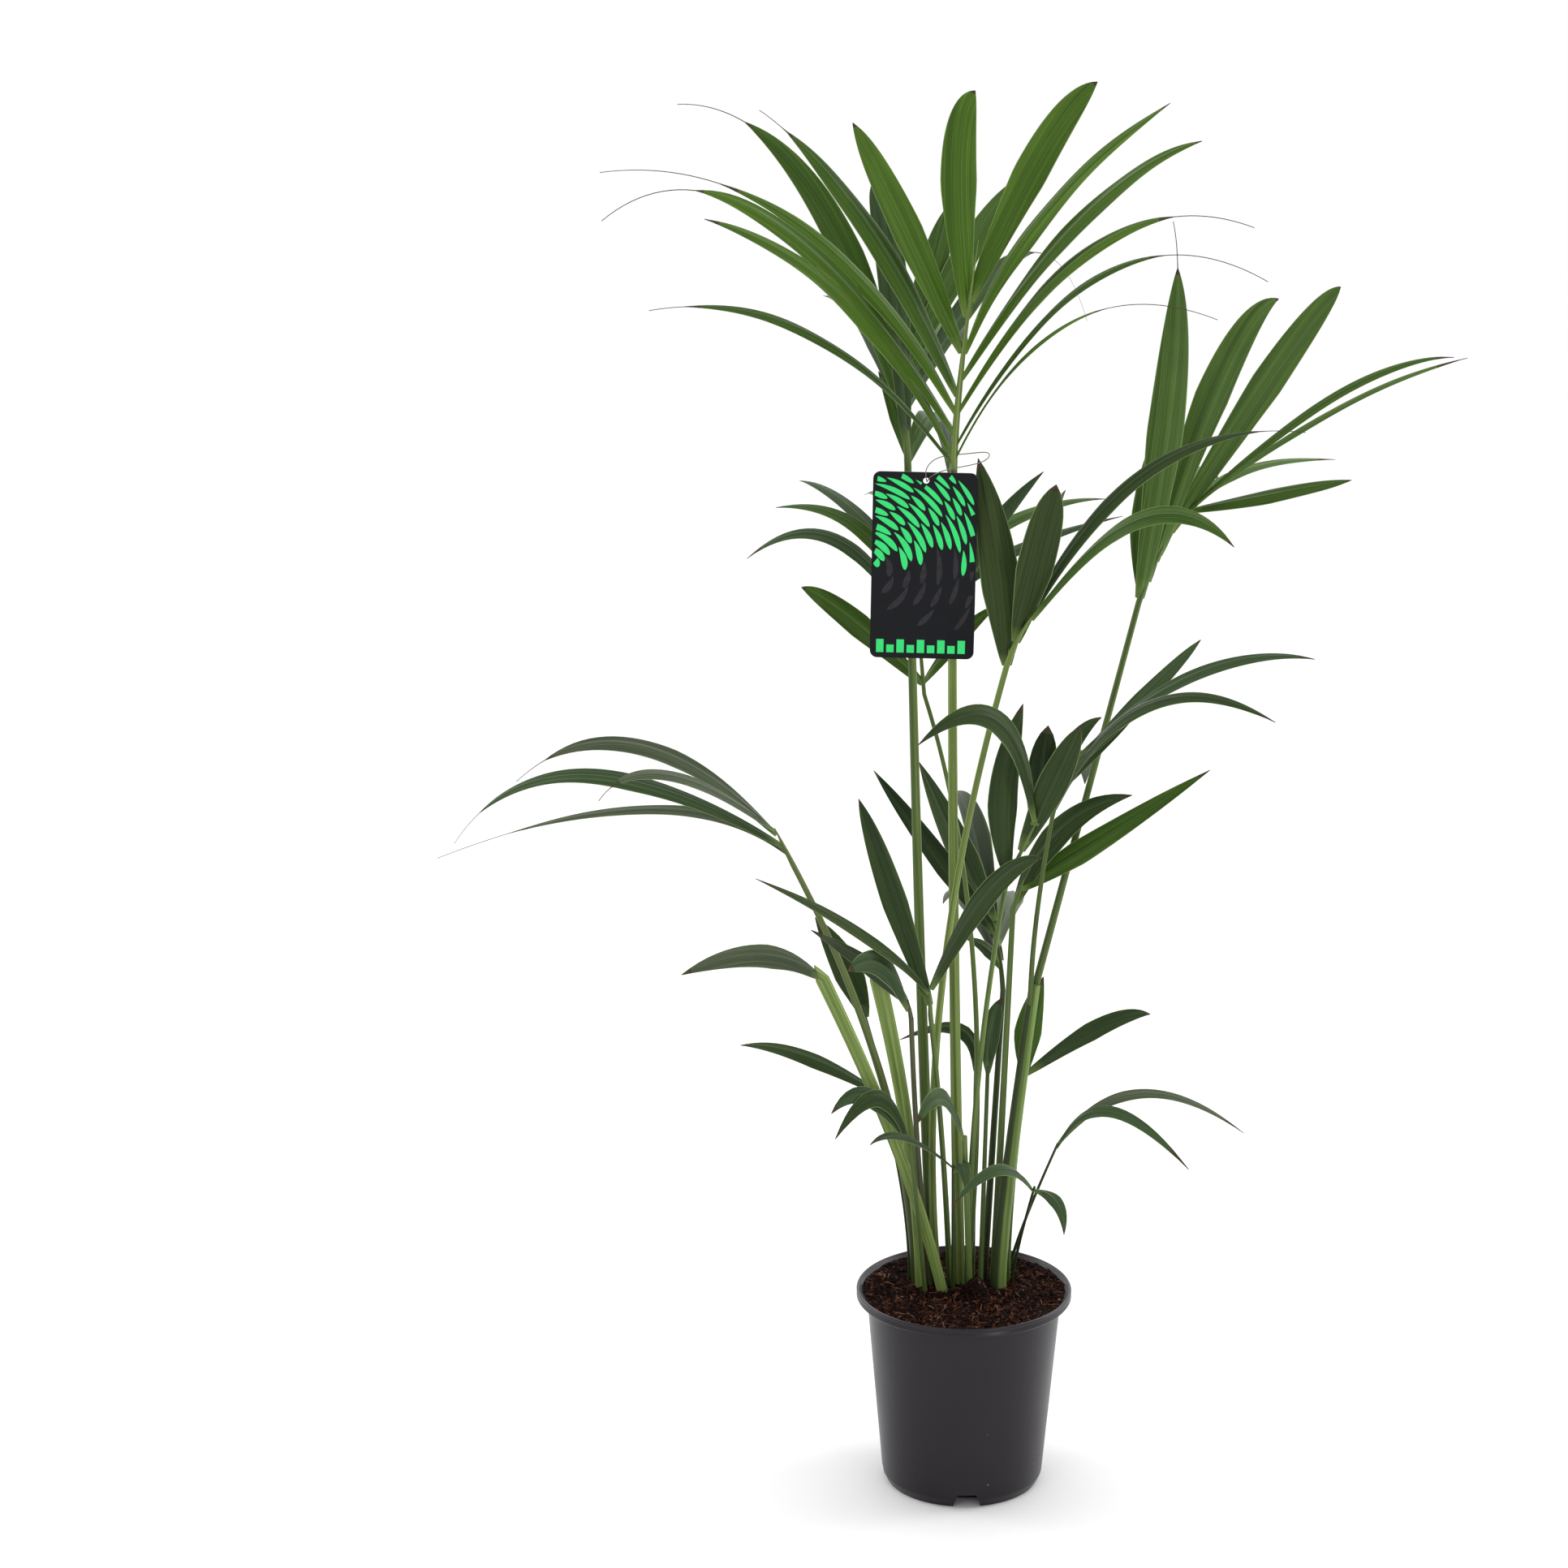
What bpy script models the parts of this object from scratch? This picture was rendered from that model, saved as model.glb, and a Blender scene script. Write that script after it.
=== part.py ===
"""Kentia palm in its nursery pot.

Metres, +Z up, +X to the right and -Y towards the viewer. The origin is the centre of the pot's flat
underside. The tables below are in millimetres, as the plant was measured, and MM turns them to metres.
"""

import math
from collections import namedtuple

import bmesh
import bpy
from mathutils import Vector

MM = 0.001
CLEARANCE = 0.3

# Pot: a thin tapering shell with a rolled lip and four drain notches in its foot
POT_HEIGHT = 174.0
POT_RIM_RADIUS = 90.0
POT_LIP_HEIGHT = 8.0
POT_SHOULDER_RADIUS = 82.0
POT_HEEL_RADIUS = 69.0
POT_HEEL_HEIGHT = 8.0
POT_FOOT_RADIUS = 64.5
POT_WALL = 1.7
POT_FLOOR = 2.5
POT_SIDES = 48
LIP_ROUND = 1.5
LIP_INNER_STEP = 5.0
LIP_CREST_STEP = 3.6
NOTCH_COUNT = 4
NOTCH_WIDTH = 24.0
NOTCH_TOP_WIDTH = 17.0
NOTCH_HEIGHT = 12.5
NOTCH_DEPTH = 18.0
NOTCH_WALL = 2.0
NOTCH_FIRST = -86.0
POCKET_FOOT = 1.0
POCKET_INSET = 0.8

# Compost: nearly flat, filled to the foot of the lip
SOIL_EDGE = 166.0
SOIL_CROWN = 168.0
SOIL_GAP = 0.6
SOIL_RINGS = 6
SOIL_LAST_RING = 0.95

# Label: a card on a loop of wire round the front stalk
CARD_WIDTH = 84.0
CARD_HEIGHT = 155.0
CARD_THICKNESS = 0.8
CARD_CORNER = 6.0
CARD_CENTRE = (-39.0, -22.0, 811.0)
CARD_TILT = 0.8
CARD_HOLE_RADIUS = 3.5
CARD_HOLE = (0.5, 70.5)
CORNER_POINTS = 4
HOLE_POINTS = 12
WIRE_RADIUS = 0.5
WIRE_REACH = 26.0
WIRE_DEPTH = 9.0
WIRE_RISE = 11.0
WIRE_SIDE = 24.2
WIRE_BACK = 3.5
WIRE_POINTS = 28

# Leaflets: each is a lens-shaped blade, thickest along its middle
LEAFLET_SECTIONS = 7
LEAFLET_THICKNESS = 0.011
LEAFLET_LEAST_THICK = 1.4
TIP_THICKNESS = 0.55
THREAD_WIDTH = 1.3
ROOT_SHARE = 0.24
SWELL_END = 0.4
SWELL_POWER = 0.8
FALL_POWER = 0.9

# Limbs: how finely they are cut, how far they stand off the compost and the rib off its stalk
STALK_POINTS = 9
RIB_SECTIONS = 5
ARC_STEPS = 12
ARCH_LEAN = 0.15
FOOT_LIFT = 0.16
RIB_GAP = 1.5

# Finishes: linear colours and roughness
LEAF_ROUGHNESS = 0.42
STALK_ROUGHNESS = 0.45

CROWN_GREEN = (0.051, 0.127, 0.022)
SHADE_GREEN = (0.030, 0.060, 0.022)
STALK_GREEN = (0.190, 0.300, 0.085)
SHEATH_GREEN = (0.090, 0.130, 0.040)

# foot and head in millimetres; bow lifts the middle off the straight line, bend says how far along it sits;
# widths are across the foot and the head, and flat is the thickness as a share of the width
Limb = namedtuple("Limb", "foot head bow bend widths flat", defaults=(0.0, 0.5, (6.0, 4.0), 1.0))
# at is the share of the rib where the leaflet grows; reach goes from there to its tip; turn is how far its
# face turns up from the viewer, in degrees; taper is high for a full tip; thread is the share that is a
# thread at the tip
Leaflet = namedtuple("Leaflet", "at reach bow bend width turn taper thread", defaults=(0.0, 3.0, 0.0))


def leaflets(*rows):
    return [Leaflet(*row) for row in rows]


FRONDS = {
    "crown_front": dict(
        stalk=Limb((-4, 24), (-16, -15, 889), -2.5, 0.6, (10.0, 6.5)),
        rib=Limb(None, (2, -40, 1081), 2.5, 0.35, (6.0, 3.0)),
        color=CROWN_GREEN,
        leaflets=leaflets(
            (0.72, (4, -30, 186), 15, 0.85, 30, 0, 3.5),
            (0.78, (97, -20, 179), 10, 0.80, 28, 10, 4.0),
            (0.58, (-87, -60, 194), 2.5, 0.75, 27, 20),
            (0.39, (-155, -80, 242), 17.5, 0.65, 24, 35, 3.0, 0.12),
            (0.31, (-275, -110, 212), 52.5, 0.65, 22, 45, 2.0, 0.30),
            (0.20, (-270, -150, 200), 67.5, 0.85, 23, 40, 3.0, 0.30),
            (0.07, (-192, -130, 217), 30, 0.60, 20, 45),
            (0.02, (-232, -170, 161), 40, 0.60, 15, 55, 3.0, 0.10),
            (0.58, (157, -60, 211), 20, 0.50, 22, 50),
            (0.47, (183, -90, 208), 22.5, 0.70, 22, 50),
            (0.31, (225, -130, 177), 52.5, 0.70, 18, 50, 3.0, 0.25),
            (0.12, (237, -160, 171), 65, 0.70, 13, 55, 3.0, 0.30),
            (0.04, (199, -180, 157), 52.5, 0.60, 9, 55, 3.0, 0.35),
        ),
    ),
    "crown_rear": dict(
        stalk=Limb((-26, 27), (-53, 30, 880), -2.5, 0.3, (10.0, 6.0)),
        rib=Limb(None, (-58, 62, 964), 0.0, 0.5, (5.5, 3.0)),
        color=SHADE_GREEN,
        leaflets=leaflets(
            (0.40, (-191, 120, 236), 55, 0.75, 27, 10, 3.0, 0.25),
            (0.14, (-31, 60, 206), 10, 0.90, 25, 20, 5.0),
            (0.74, (34, 110, 126), 0, 0.55, 26, 0, 5.0),
            (0.82, (95, 150, 135), 10, 0.70, 24, 10),
            (0.49, (150, 200, 32), 82.5, 0.80, 19, 20, 3.0, 0.40),
            (0.06, (-25, 50, 60), 5, 0.55, 14, 20),
            (0.91, (0, 230, -10), 30, 0.55, 26, 30),
            (0.30, (-75, 240, 60), 30, 0.50, 18, 45),
            (0.04, (35, 250, -90), 50, 0.30, 24, 60),
            (0.60, (50, 290, -25), 45, 0.50, 24, 60),
        ),
    ),
    "right_tall": dict(
        stalk=Limb((59, 22, 447), (137, 65, 757), 0.0, 0.5, (6.5, 5.0)),
        rib=Limb(None, (177, 95, 830), 5.0, 0.7, (5.0, 3.0)),
        color=CROWN_GREEN,
        leaflets=leaflets(
            (0.02, (20, 0, 315), -10, 0.80, 32, 0, 3.0, 0.22),
            (0.04, (10, 60, 120), 10, 0.50, 21, 20),
            (0.32, (98, 50, 210), 17.5, 0.90, 30, 0),
            (0.63, (135, 30, 200), 5, 0.90, 28, 10),
            (0.79, (217, -40, 148), 22.5, 0.75, 11, 55),
            (0.87, (220, -90, 155), 15, 0.60, 8, 55),
            (0.95, (130, 120, 15), 17.5, 0.30, 12, 60),
            (0.97, (130, -60, 42), 0, 0.70, 17, 50),
            (0.16, (50, 240, 75), 20, 0.55, 26, 45),
            (0.40, (60, 260, -5), 35, 0.55, 24, 60),
            (0.06, (20, 280, 5), 35, 0.50, 24, 60),
        ),
    ),
    "middle_right": dict(
        stalk=Limb((-22, 19), (28, -30, 727), 25.0, 0.45, (6.5, 5.0)),
        rib=Limb(None, (51, -45, 779), 2.5, 0.5, (5.0, 3.0)),
        color=SHADE_GREEN,
        leaflets=leaflets(
            (0.03, (-25, 25, 166), 5, 0.45, 33, 0, 4.0),
            (0.42, (30, -20, 137), 0, 0.60, 30, 0, 6.0),
            (0.67, (225, 60, 150), 50, 0.60, 15, 50, 3.0, 0.12),
            (0.89, (155, -110, 90), 45, 0.80, 22, 50),
            (0.24, (45, 200, 85), 20, 0.45, 22, 40),
        ),
    ),
    "label_rear": dict(
        stalk=Limb((3, 32), (-38, 60, 677), 25.0, 0.6, (5.0, 3.5)),
        rib=Limb(None, (-49, 85, 787), 0.0, 0.5, (3.5, 2.5)),
        color=SHADE_GREEN,
        leaflets=leaflets(
            (0.08, (-100, -30, 90), 5, 0.80, 22, 20),
            (0.38, (-145, 40, 60), 50, 0.70, 15, 50),
            (0.63, (-120, 80, 65), 30, 0.55, 15, 50),
            (0.81, (-100, 130, 55), 15, 0.65, 14, 50),
            (0.94, (-45, 200, 10), 25, 0.50, 16, 30),
            (0.31, (100, 60, 140), 10, 0.60, 18, 20),
            (0.09, (60, 40, 55), 5, 0.70, 14, 40),
            (0.50, (170, 120, 65), 20, 0.35, 14, 55),
            (0.69, (160, 170, 45), 25, 0.50, 14, 55),
            (0.94, (-35, 240, -60), 40, 0.50, 24, 60),
        ),
    ),
    "inner_front": dict(
        stalk=Limb((3, 16), (31, -65, 559), 10.0, 0.5, (5.0, 4.0)),
        rib=Limb(None, (55, -85, 618), 0.0, 0.5, (4.0, 3.0)),
        color=SHADE_GREEN,
        leaflets=leaflets(
            (0.03, (10, -10, 150), 10, 0.45, 25, 0, 4.0),
            (0.96, (-95, -70, 85), 50, 0.75, 22, 30),
            (0.90, (10, 30, 75), 0, 0.50, 24, 0, 6.0),
            (0.46, (45, -30, 115), 0, 0.75, 27, 0),
            (0.58, (60, 10, 105), 10, 0.80, 18, 20),
        ),
    ),
    "right_low": dict(
        stalk=Limb((53, 12, 447), (68, -10, 596), 2.5, 0.4, (4.5, 3.6)),
        rib=Limb(None, (90, -20, 656), 2.5, 0.5, (3.6, 2.6)),
        color=SHADE_GREEN,
        leaflets=leaflets(
            (0.66, (105, 10, 110), 0, 0.75, 15, 30),
            (0.39, (100, 60, 100), 0, 0.60, 13, 40),
            (0.94, (185, -60, 100), 25, 0.65, 15, 55),
            (0.10, (170, -130, 115), 50, 0.60, 15, 50),
            (0.59, (20, 215, -75), 25, 0.50, 23, 50),
        ),
    ),
    "right_inner": dict(
        stalk=Limb((25, 31), (37, 12, 507), 0.0, 0.8, (6.5, 4.6)),
        rib=Limb(None, (46, 9, 536), 0.0, 0.5, (4.6, 3.2)),
        color=SHADE_GREEN,
        leaflets=leaflets(
            (0.20, (95, 8, 92), 20, 0.60, 24, 30),
            (0.67, (155, 30, 95), 0, 0.30, 22, 30),
        ),
    ),
    "pair_front": dict(
        stalk=Limb((-12, 18), (-30, -30, 428), 2.5, 0.55, (5.0, 4.2)),
        rib=Limb(None, (-31, -34, 456), 0.0, 0.5, (4.2, 3.6)),
        color=SHADE_GREEN,
        leaflets=leaflets(
            (0.33, (-60, 10, 175), 0, 0.70, 23, 0),
            (0.90, (90, -60, 135), 15, 0.80, 22, 30),
            (0.75, (-140, -80, 125), 10, 0.35, 14, 50),
        ),
    ),
    "left_arching": dict(
        stalk=Limb((-40, 24), (-143, -20, 553), 20.0, 0.45, (9.0, 4.6)),
        rib=Limb(None, (-159, -24, 588), 0.0, 0.5, (4.6, 3.0)),
        color=SHADE_GREEN,
        leaflets=leaflets(
            (0.85, (-210, -40, 55), 50, 0.70, 20, 55, 3.0, 0.12),
            (0.95, (-135, -130, 65), 30, 0.85, 15, 50, 3.0, 0.12),
            (0.53, (-275, 40, -15), 60, 0.70, 18, 55, 3.0, 0.12),
            (0.34, (-300, 110, -45), 40, 0.25, 13, 60, 3.0, 0.15),
        ),
    ),
    "left_broad": dict(
        stalk=Limb((-19, 8), (-118, -60, 469), 7.5, 0.4, (9.0, 12.0), 0.35),
        rib=Limb(None, (-125, -62, 483), 0.0, 0.5, (10.0, 4.0), 0.4),
        color=SHADE_GREEN,
        leaflets=leaflets((0.20, (-110, -70, 25), 17.5, 0.45, 24, 40)),
    ),
    "left_pair": dict(
        stalk=Limb((-29, 15), (-46, -24, 422), -2.5, 0.5, (5.0, 4.2)),
        rib=Limb(None, (-49, -28, 442), 0.0, 0.5, (4.2, 3.6)),
        color=SHADE_GREEN,
        leaflets=leaflets(
            (0.80, (-80, -20, 70), 5, 0.30, 17, 30),
            (0.44, (-50, -60, 55), 20, 0.70, 21, 30, 6.0),
        ),
    ),
    "rear_fan": dict(
        stalk=Limb((17, 34), (30, 70, 414), 0.0, 0.5, (6.5, 4.6)),
        rib=Limb(None, (20, 95, 472), 2.5, 0.5, (4.6, 3.2)),
        color=SHADE_GREEN,
        leaflets=leaflets(
            (0.76, (-105, 60, 125), 0, 0.50, 20, 10),
            (0.94, (-65, 130, 100), 0, 0.45, 27, 0),
            (0.88, (-35, 200, 55), 20, 0.70, 24, 0),
            (0.29, (-30, -10, 30), 5, 0.55, 12, 30),
            (0.82, (-15, 270, -45), 30, 0.55, 24, 40),
            (0.64, (15, 290, -80), 35, 0.50, 26, 50),
            (0.41, (-50, 260, -40), 35, 0.50, 26, 50),
        ),
    ),
}

# Short leaves low in the clump, each with its own thin stalk fused to it
LOW_LEAVES = {
    "low_left_rear": dict(
        stalk=Limb((-37, 36), (-88, 9, 422), 5.0, 0.45, (5.0, 3.6)),
        leaflets=leaflets((0.96, (-43, 38, 75), 5, 0.50, 27, 0)),
    ),
    "low_left_thin": dict(
        stalk=Limb((-46, 36), (-72, 28, 340), 5.0, 0.4, (4.0, 3.0)),
        leaflets=leaflets((0.98, (-122, 60, 20), 10, 0.65, 15, 50)),
    ),
    "low_left_short": dict(
        stalk=Limb((-33, 6), (-46, -34, 321), 0.0, 0.5, (4.0, 4.0)),
        leaflets=leaflets(
            (0.97, (-65, -40, 41), 25, 0.85, 19, 35),
            (0.93, (-62, -50, 28), 40, 0.70, 18, 35),
        ),
    ),
    "low_centre_short": dict(
        stalk=Limb((5, 5), (-1, -16, 317), 0.0, 0.5, (5.5, 4.5)),
        leaflets=leaflets((0.98, (-40, -60, 35), 29, 0.85, 19, 35)),
    ),
    "low_centre_fork": dict(
        stalk=Limb((-9, 8), (-10, -9, 288), 0.0, 0.5, (3.5, 3.0)),
        leaflets=leaflets(
            (0.98, (-68, -95, 57), 14, 0.80, 10, 50),
            (0.95, (12, -30, -8), 15, 0.30, 14, 20),
        ),
    ),
    "low_right_pair": dict(
        stalk=Limb((41, 33), (58, -25, 276), 2.0, 0.30, (2.6, 2.2)),
        leaflets=leaflets(
            (0.97, (-68, -50, 5), 25, 0.40, 13, 50),
            (0.98, (25, -40, -24), 15, 0.65, 12, 30),
        ),
    ),
    "low_right_fork": dict(
        stalk=Limb((38, 50), (77, -8, 308), 3.0, 0.25, (2.8, 2.2)),
        leaflets=leaflets(
            (0.99, (159, 60, -10), 42, 0.35, 10, 40),
            (0.98, (108, -70, 10), 40, 0.35, 12, 40),
        ),
    ),
    "low_right_single": dict(
        stalk=Limb((37, 38), (51, 36, 362), 2.5, 0.45, (4.6, 3.6)),
        leaflets=leaflets((0.96, (105, 40, 40), 10, 0.80, 18, 40)),
    ),
    "low_right_rear": dict(
        stalk=Limb((33, 49), (50, 51, 354), 2.5, 0.45, (4.6, 3.6)),
        leaflets=leaflets((0.97, (15, 20, 80), 5, 0.50, 25, 0)),
    ),
    "low_centre_blade": dict(
        stalk=Limb((14, 24), (18, 41, 357), 0.0, 0.5, (4.4, 3.4)),
        leaflets=leaflets((0.97, (10, 20, 60), 5, 0.55, 16, 20, 6.0)),
    ),
    "low_centre_rear": dict(
        stalk=Limb((7, 42), (8, 59, 352), 0.0, 0.5, (4.4, 3.4)),
        leaflets=leaflets((0.97, (-65, 20, 20), 30, 0.20, 14, 40)),
    ),
}

# Bare limbs: the sheathed stem that carries the two right stalks, and an old cut stalk
BARE_LIMBS = {
    "right_stem": (Limb((29, 16), (56, 17, 440), 2.5, 0.2, (13.5, 9.5)), SHEATH_GREEN),
    "cut_stalk": (Limb((-37, 14), (-74, -21, 458), 7.5, 0.45, (8.0, 14.0), 0.3), STALK_GREEN),
}


def material(name, color, roughness, metallic=0.0):
    made = bpy.data.materials.get(name)
    if made is None:
        made = bpy.data.materials.new(name)
        made.use_nodes = True
        shader = made.node_tree.nodes["Principled BSDF"]
        shader.inputs["Base Color"].default_value = (*color, 1.0)
        shader.inputs["Roughness"].default_value = roughness
        shader.inputs["Metallic"].default_value = metallic
    return made


def add_object(name, data, finish, collection):
    made = bpy.data.objects.new(name, data)
    collection.objects.link(made)
    data.materials.append(finish)
    return made


def smooth(mesh, angle=50.0):
    mesh.shade_smooth()
    mesh.set_sharp_from_angle(angle=math.radians(angle))


def soil_height(x, y):
    """Top of the compost, in millimetres, at a place on the plan."""
    share = min(1.0, math.hypot(x, y) / POT_SHOULDER_RADIUS)
    return SOIL_EDGE + (SOIL_CROWN - SOIL_EDGE) * (0.5 + 0.5 * math.cos(math.pi * share))


def up_normal(chord):
    """The direction square to a chord that points up, for an arch to rise along."""
    along = chord.normalized()
    sideways = math.copysign(1.0, chord.x)
    in_picture = Vector((-chord.z * sideways, 0.0, abs(chord.x)))
    upward = Vector((0.0, 0.0, 1.0)) - along * along.z
    if in_picture.length > 0.0:
        upward += ARCH_LEAN * in_picture.normalized()
    upward -= along * upward.dot(along)
    return upward.normalized()


class Arc:
    """A curve with one bend, from a root to a tip."""

    def __init__(self, root, tip, bow, bend):
        self.root = Vector(root)
        self.tip = Vector(tip)
        chord = self.tip - self.root
        self.up = up_normal(chord)
        self.knee = self.root + chord * bend + self.up * (2.0 * bow)

    def point(self, t):
        return self.root * (1 - t) ** 2 + self.knee * (2 * t * (1 - t)) + self.tip * t**2

    def tangent(self, t):
        return ((self.knee - self.root) * (1 - t) + (self.tip - self.knee) * t).normalized()

    def facing(self, face, t):
        """Where a blade looks at t, when its middle looks along face and it bends without twisting."""
        middle = self.tangent(0.5)
        square = (face - middle * face.dot(middle)).normalized()
        return middle.rotation_difference(self.tangent(t)) @ square

    def length(self):
        steps = [self.point(i / ARC_STEPS) for i in range(ARC_STEPS + 1)]
        return sum((b - a).length for a, b in zip(steps, steps[1:]))


def lens_loft(name, arc, sections, face, end_point):
    """A closed blade along an arc. Sections hold (t, width, thickness); face is where its middle looks."""
    shape = bmesh.new()
    rings = []
    for t, width, thickness in sections:
        square = arc.facing(face, t)
        across = arc.tangent(t).cross(square)
        middle = arc.point(t)
        corners = (
            middle - across * width / 2,
            middle + square * thickness / 2,
            middle + across * width / 2,
            middle - square * thickness / 2,
        )
        rings.append([shape.verts.new(corner * MM) for corner in corners])
    for lower, upper in zip(rings, rings[1:]):
        for i in range(4):
            j = (i + 1) % 4
            shape.faces.new((lower[i], lower[j], upper[j], upper[i]))
    shape.faces.new(reversed(rings[0]))
    if end_point:
        tip = shape.verts.new(arc.point(1.0) * MM)
        for i in range(4):
            shape.faces.new((rings[-1][i], rings[-1][(i + 1) % 4], tip))
    else:
        shape.faces.new(rings[-1])
    bmesh.ops.recalc_face_normals(shape, faces=shape.faces)
    mesh = bpy.data.meshes.new(name)
    shape.to_mesh(mesh)
    shape.free()
    return mesh


def leaflet_mesh(name, root, leaflet):
    """One leaflet: narrow at its root, widest before its middle, and drawn out to its tip."""
    arc = Arc(root, root + Vector(leaflet.reach), leaflet.bow, leaflet.bend)
    thick = max(LEAFLET_LEAST_THICK, LEAFLET_THICKNESS * arc.length())
    sections = []
    for i in range(LEAFLET_SECTIONS):
        t = i / LEAFLET_SECTIONS
        share = min(1.0, t / (1.0 - leaflet.thread))
        swell = ROOT_SHARE + (1.0 - ROOT_SHARE) * min(1.0, share / SWELL_END) ** SWELL_POWER
        fall = (1.0 - share**leaflet.taper) ** FALL_POWER
        width = max(THREAD_WIDTH, leaflet.width * swell * fall)
        sections.append((t, width, thick * (TIP_THICKNESS + (1.0 - TIP_THICKNESS) * fall)))
    lean = math.radians(leaflet.turn)
    face = Vector((0.0, -1.0, 0.0)) * math.cos(lean) + arc.up * math.sin(lean)
    return lens_loft(name, arc, sections, face, end_point=True)


def stalk_mesh(name, limb, foot):
    """A lens-sided limb for a rib, or for a stalk that is flat across."""
    arc = Arc(foot, limb.head, limb.bow, limb.bend)
    sections = []
    for i in range(RIB_SECTIONS):
        t = i / (RIB_SECTIONS - 1)
        width = limb.widths[0] + (limb.widths[1] - limb.widths[0]) * t
        sections.append((t, width, width * limb.flat))
    return lens_loft(name, arc, sections, Vector((0.0, -1.0, 0.0)), end_point=False), arc


def tube(name, limb, foot, finish, collection):
    """A round tapering limb as a bevelled curve, cut level at its foot."""
    arc = Arc(foot, limb.head, limb.bow, limb.bend)
    data = bpy.data.curves.new(name, "CURVE")
    data.dimensions = "3D"
    data.bevel_depth = MM
    data.bevel_resolution = 1
    data.use_fill_caps = True
    line = data.splines.new("POLY")
    line.points.add(STALK_POINTS - 1)
    for i in range(STALK_POINTS):
        t = i / (STALK_POINTS - 1)
        line.points[i].co = (*(arc.point(t) * MM), 1.0)
        line.points[i].radius = (limb.widths[0] + (limb.widths[1] - limb.widths[0]) * t) / 2
    return add_object(name, data, finish, collection), arc


def standing(limb):
    """The foot of a limb: where the table gives only a plan, it stands just clear of the compost."""
    if len(limb.foot) == 3:
        return Vector(limb.foot)
    x, y = limb.foot
    return Vector((x, y, soil_height(x, y) + CLEARANCE + FOOT_LIFT * limb.widths[0]))


def fuse(name, meshes, finish, collection):
    """Join closed meshes into one body by a Boolean union on a collection."""
    rest = bpy.data.collections.new(name + "_pieces")
    bpy.context.scene.collection.children.link(rest)
    body = add_object(name, meshes[0], finish, collection)
    for i, mesh in enumerate(meshes[1:]):
        add_object(f"{name}_{i}", mesh, finish, rest)
    union = body.modifiers.new("union", "BOOLEAN")
    union.operation = "UNION"
    union.operand_type = "COLLECTION"
    union.collection = rest
    union.solver = "MANIFOLD"
    bpy.context.view_layer.update()
    joined = bpy.data.meshes.new_from_object(body.evaluated_get(bpy.context.evaluated_depsgraph_get()))
    body.modifiers.clear()
    body.data = joined
    for piece in list(rest.objects):
        bpy.data.objects.remove(piece)
    bpy.data.collections.remove(rest)
    smooth(joined)
    return body


def add_frond(name, frond, collection):
    """A stalk and, just clear of its head, the frond: a rib with its leaflets fused on."""
    stalk = frond["stalk"]
    green = material("stalk_green", STALK_GREEN, STALK_ROUGHNESS)
    foot = standing(stalk)
    if stalk.flat < 1.0:
        mesh, arc = stalk_mesh(name + "_stalk", stalk, foot)
        add_object(name + "_stalk", mesh, green, collection)
    else:
        _, arc = tube(name + "_stalk", stalk, foot, green, collection)
    rib_foot = arc.point(1.0) + arc.tangent(1.0) * RIB_GAP
    rib_mesh, rib = stalk_mesh(name + "_rib", frond["rib"], rib_foot)
    meshes = [rib_mesh]
    for i, leaflet in enumerate(frond["leaflets"]):
        meshes.append(leaflet_mesh(f"{name}_leaflet_{i}", rib.point(leaflet.at), leaflet))
    finish_name = "leaf_crown" if frond["color"] is CROWN_GREEN else "leaf_shade"
    fuse(name + "_frond", meshes, material(finish_name, frond["color"], LEAF_ROUGHNESS), collection)


def add_low_leaf(name, leaf, collection):
    """A short leaf fused to its own thin stalk."""
    stalk, arc = stalk_mesh(name + "_rib", leaf["stalk"], standing(leaf["stalk"]))
    meshes = [stalk]
    for i, leaflet in enumerate(leaf["leaflets"]):
        meshes.append(leaflet_mesh(f"{name}_leaflet_{i}", arc.point(leaflet.at), leaflet))
    fuse(name + "_leaf", meshes, material("leaf_shade", SHADE_GREEN, LEAF_ROUGHNESS), collection)


def turned(name, profile, finish, collection):
    """A turned body from a profile of (radius, height) that ends on the axis."""
    mesh = bpy.data.meshes.new(name)
    points = [(radius * MM, 0.0, height * MM) for radius, height in profile]
    mesh.from_pydata(points, [(i, i + 1) for i in range(len(points) - 1)], [])
    made = add_object(name, mesh, finish, collection)
    screw = made.modifiers.new("turn", "SCREW")
    screw.axis = "Z"
    screw.steps = POT_SIDES
    screw.render_steps = POT_SIDES
    screw.use_merge_vertices = True
    screw.merge_threshold = 1e-4
    screw.use_smooth_shade = True
    return made


def shell_radius(height, inset):
    """Radius of the pot's side at a height, moved in by an inset."""
    share = (height - POT_HEEL_HEIGHT) / (POT_HEIGHT - POT_LIP_HEIGHT - POT_HEEL_HEIGHT)
    return POT_HEEL_RADIUS + (POT_SHOULDER_RADIUS - POT_HEEL_RADIUS) * share - inset


def channel(name, inner, outer, wide, top_wide, low, high, angle, collection):
    """A block that runs outwards from the pot's foot, narrower at its top."""
    shape = bmesh.new()
    bmesh.ops.create_cube(shape, size=1.0)
    for corner in shape.verts:
        level, reach = (high, top_wide / 2) if corner.co.z > 0 else (low, wide / 2)
        radius = outer if corner.co.x > 0 else inner
        corner.co = Vector((radius, math.copysign(reach, corner.co.y), level)) * MM
    mesh = bpy.data.meshes.new(name)
    shape.to_mesh(mesh)
    shape.free()
    made = bpy.data.objects.new(name, mesh)
    made.rotation_euler.z = angle
    made.hide_render = True
    made.display_type = "WIRE"
    collection.objects.link(made)
    return made


def add_boolean(body, operation, other):
    made = body.modifiers.new(other.name, "BOOLEAN")
    made.operation = operation
    made.object = other
    made.solver = "EXACT"


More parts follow.
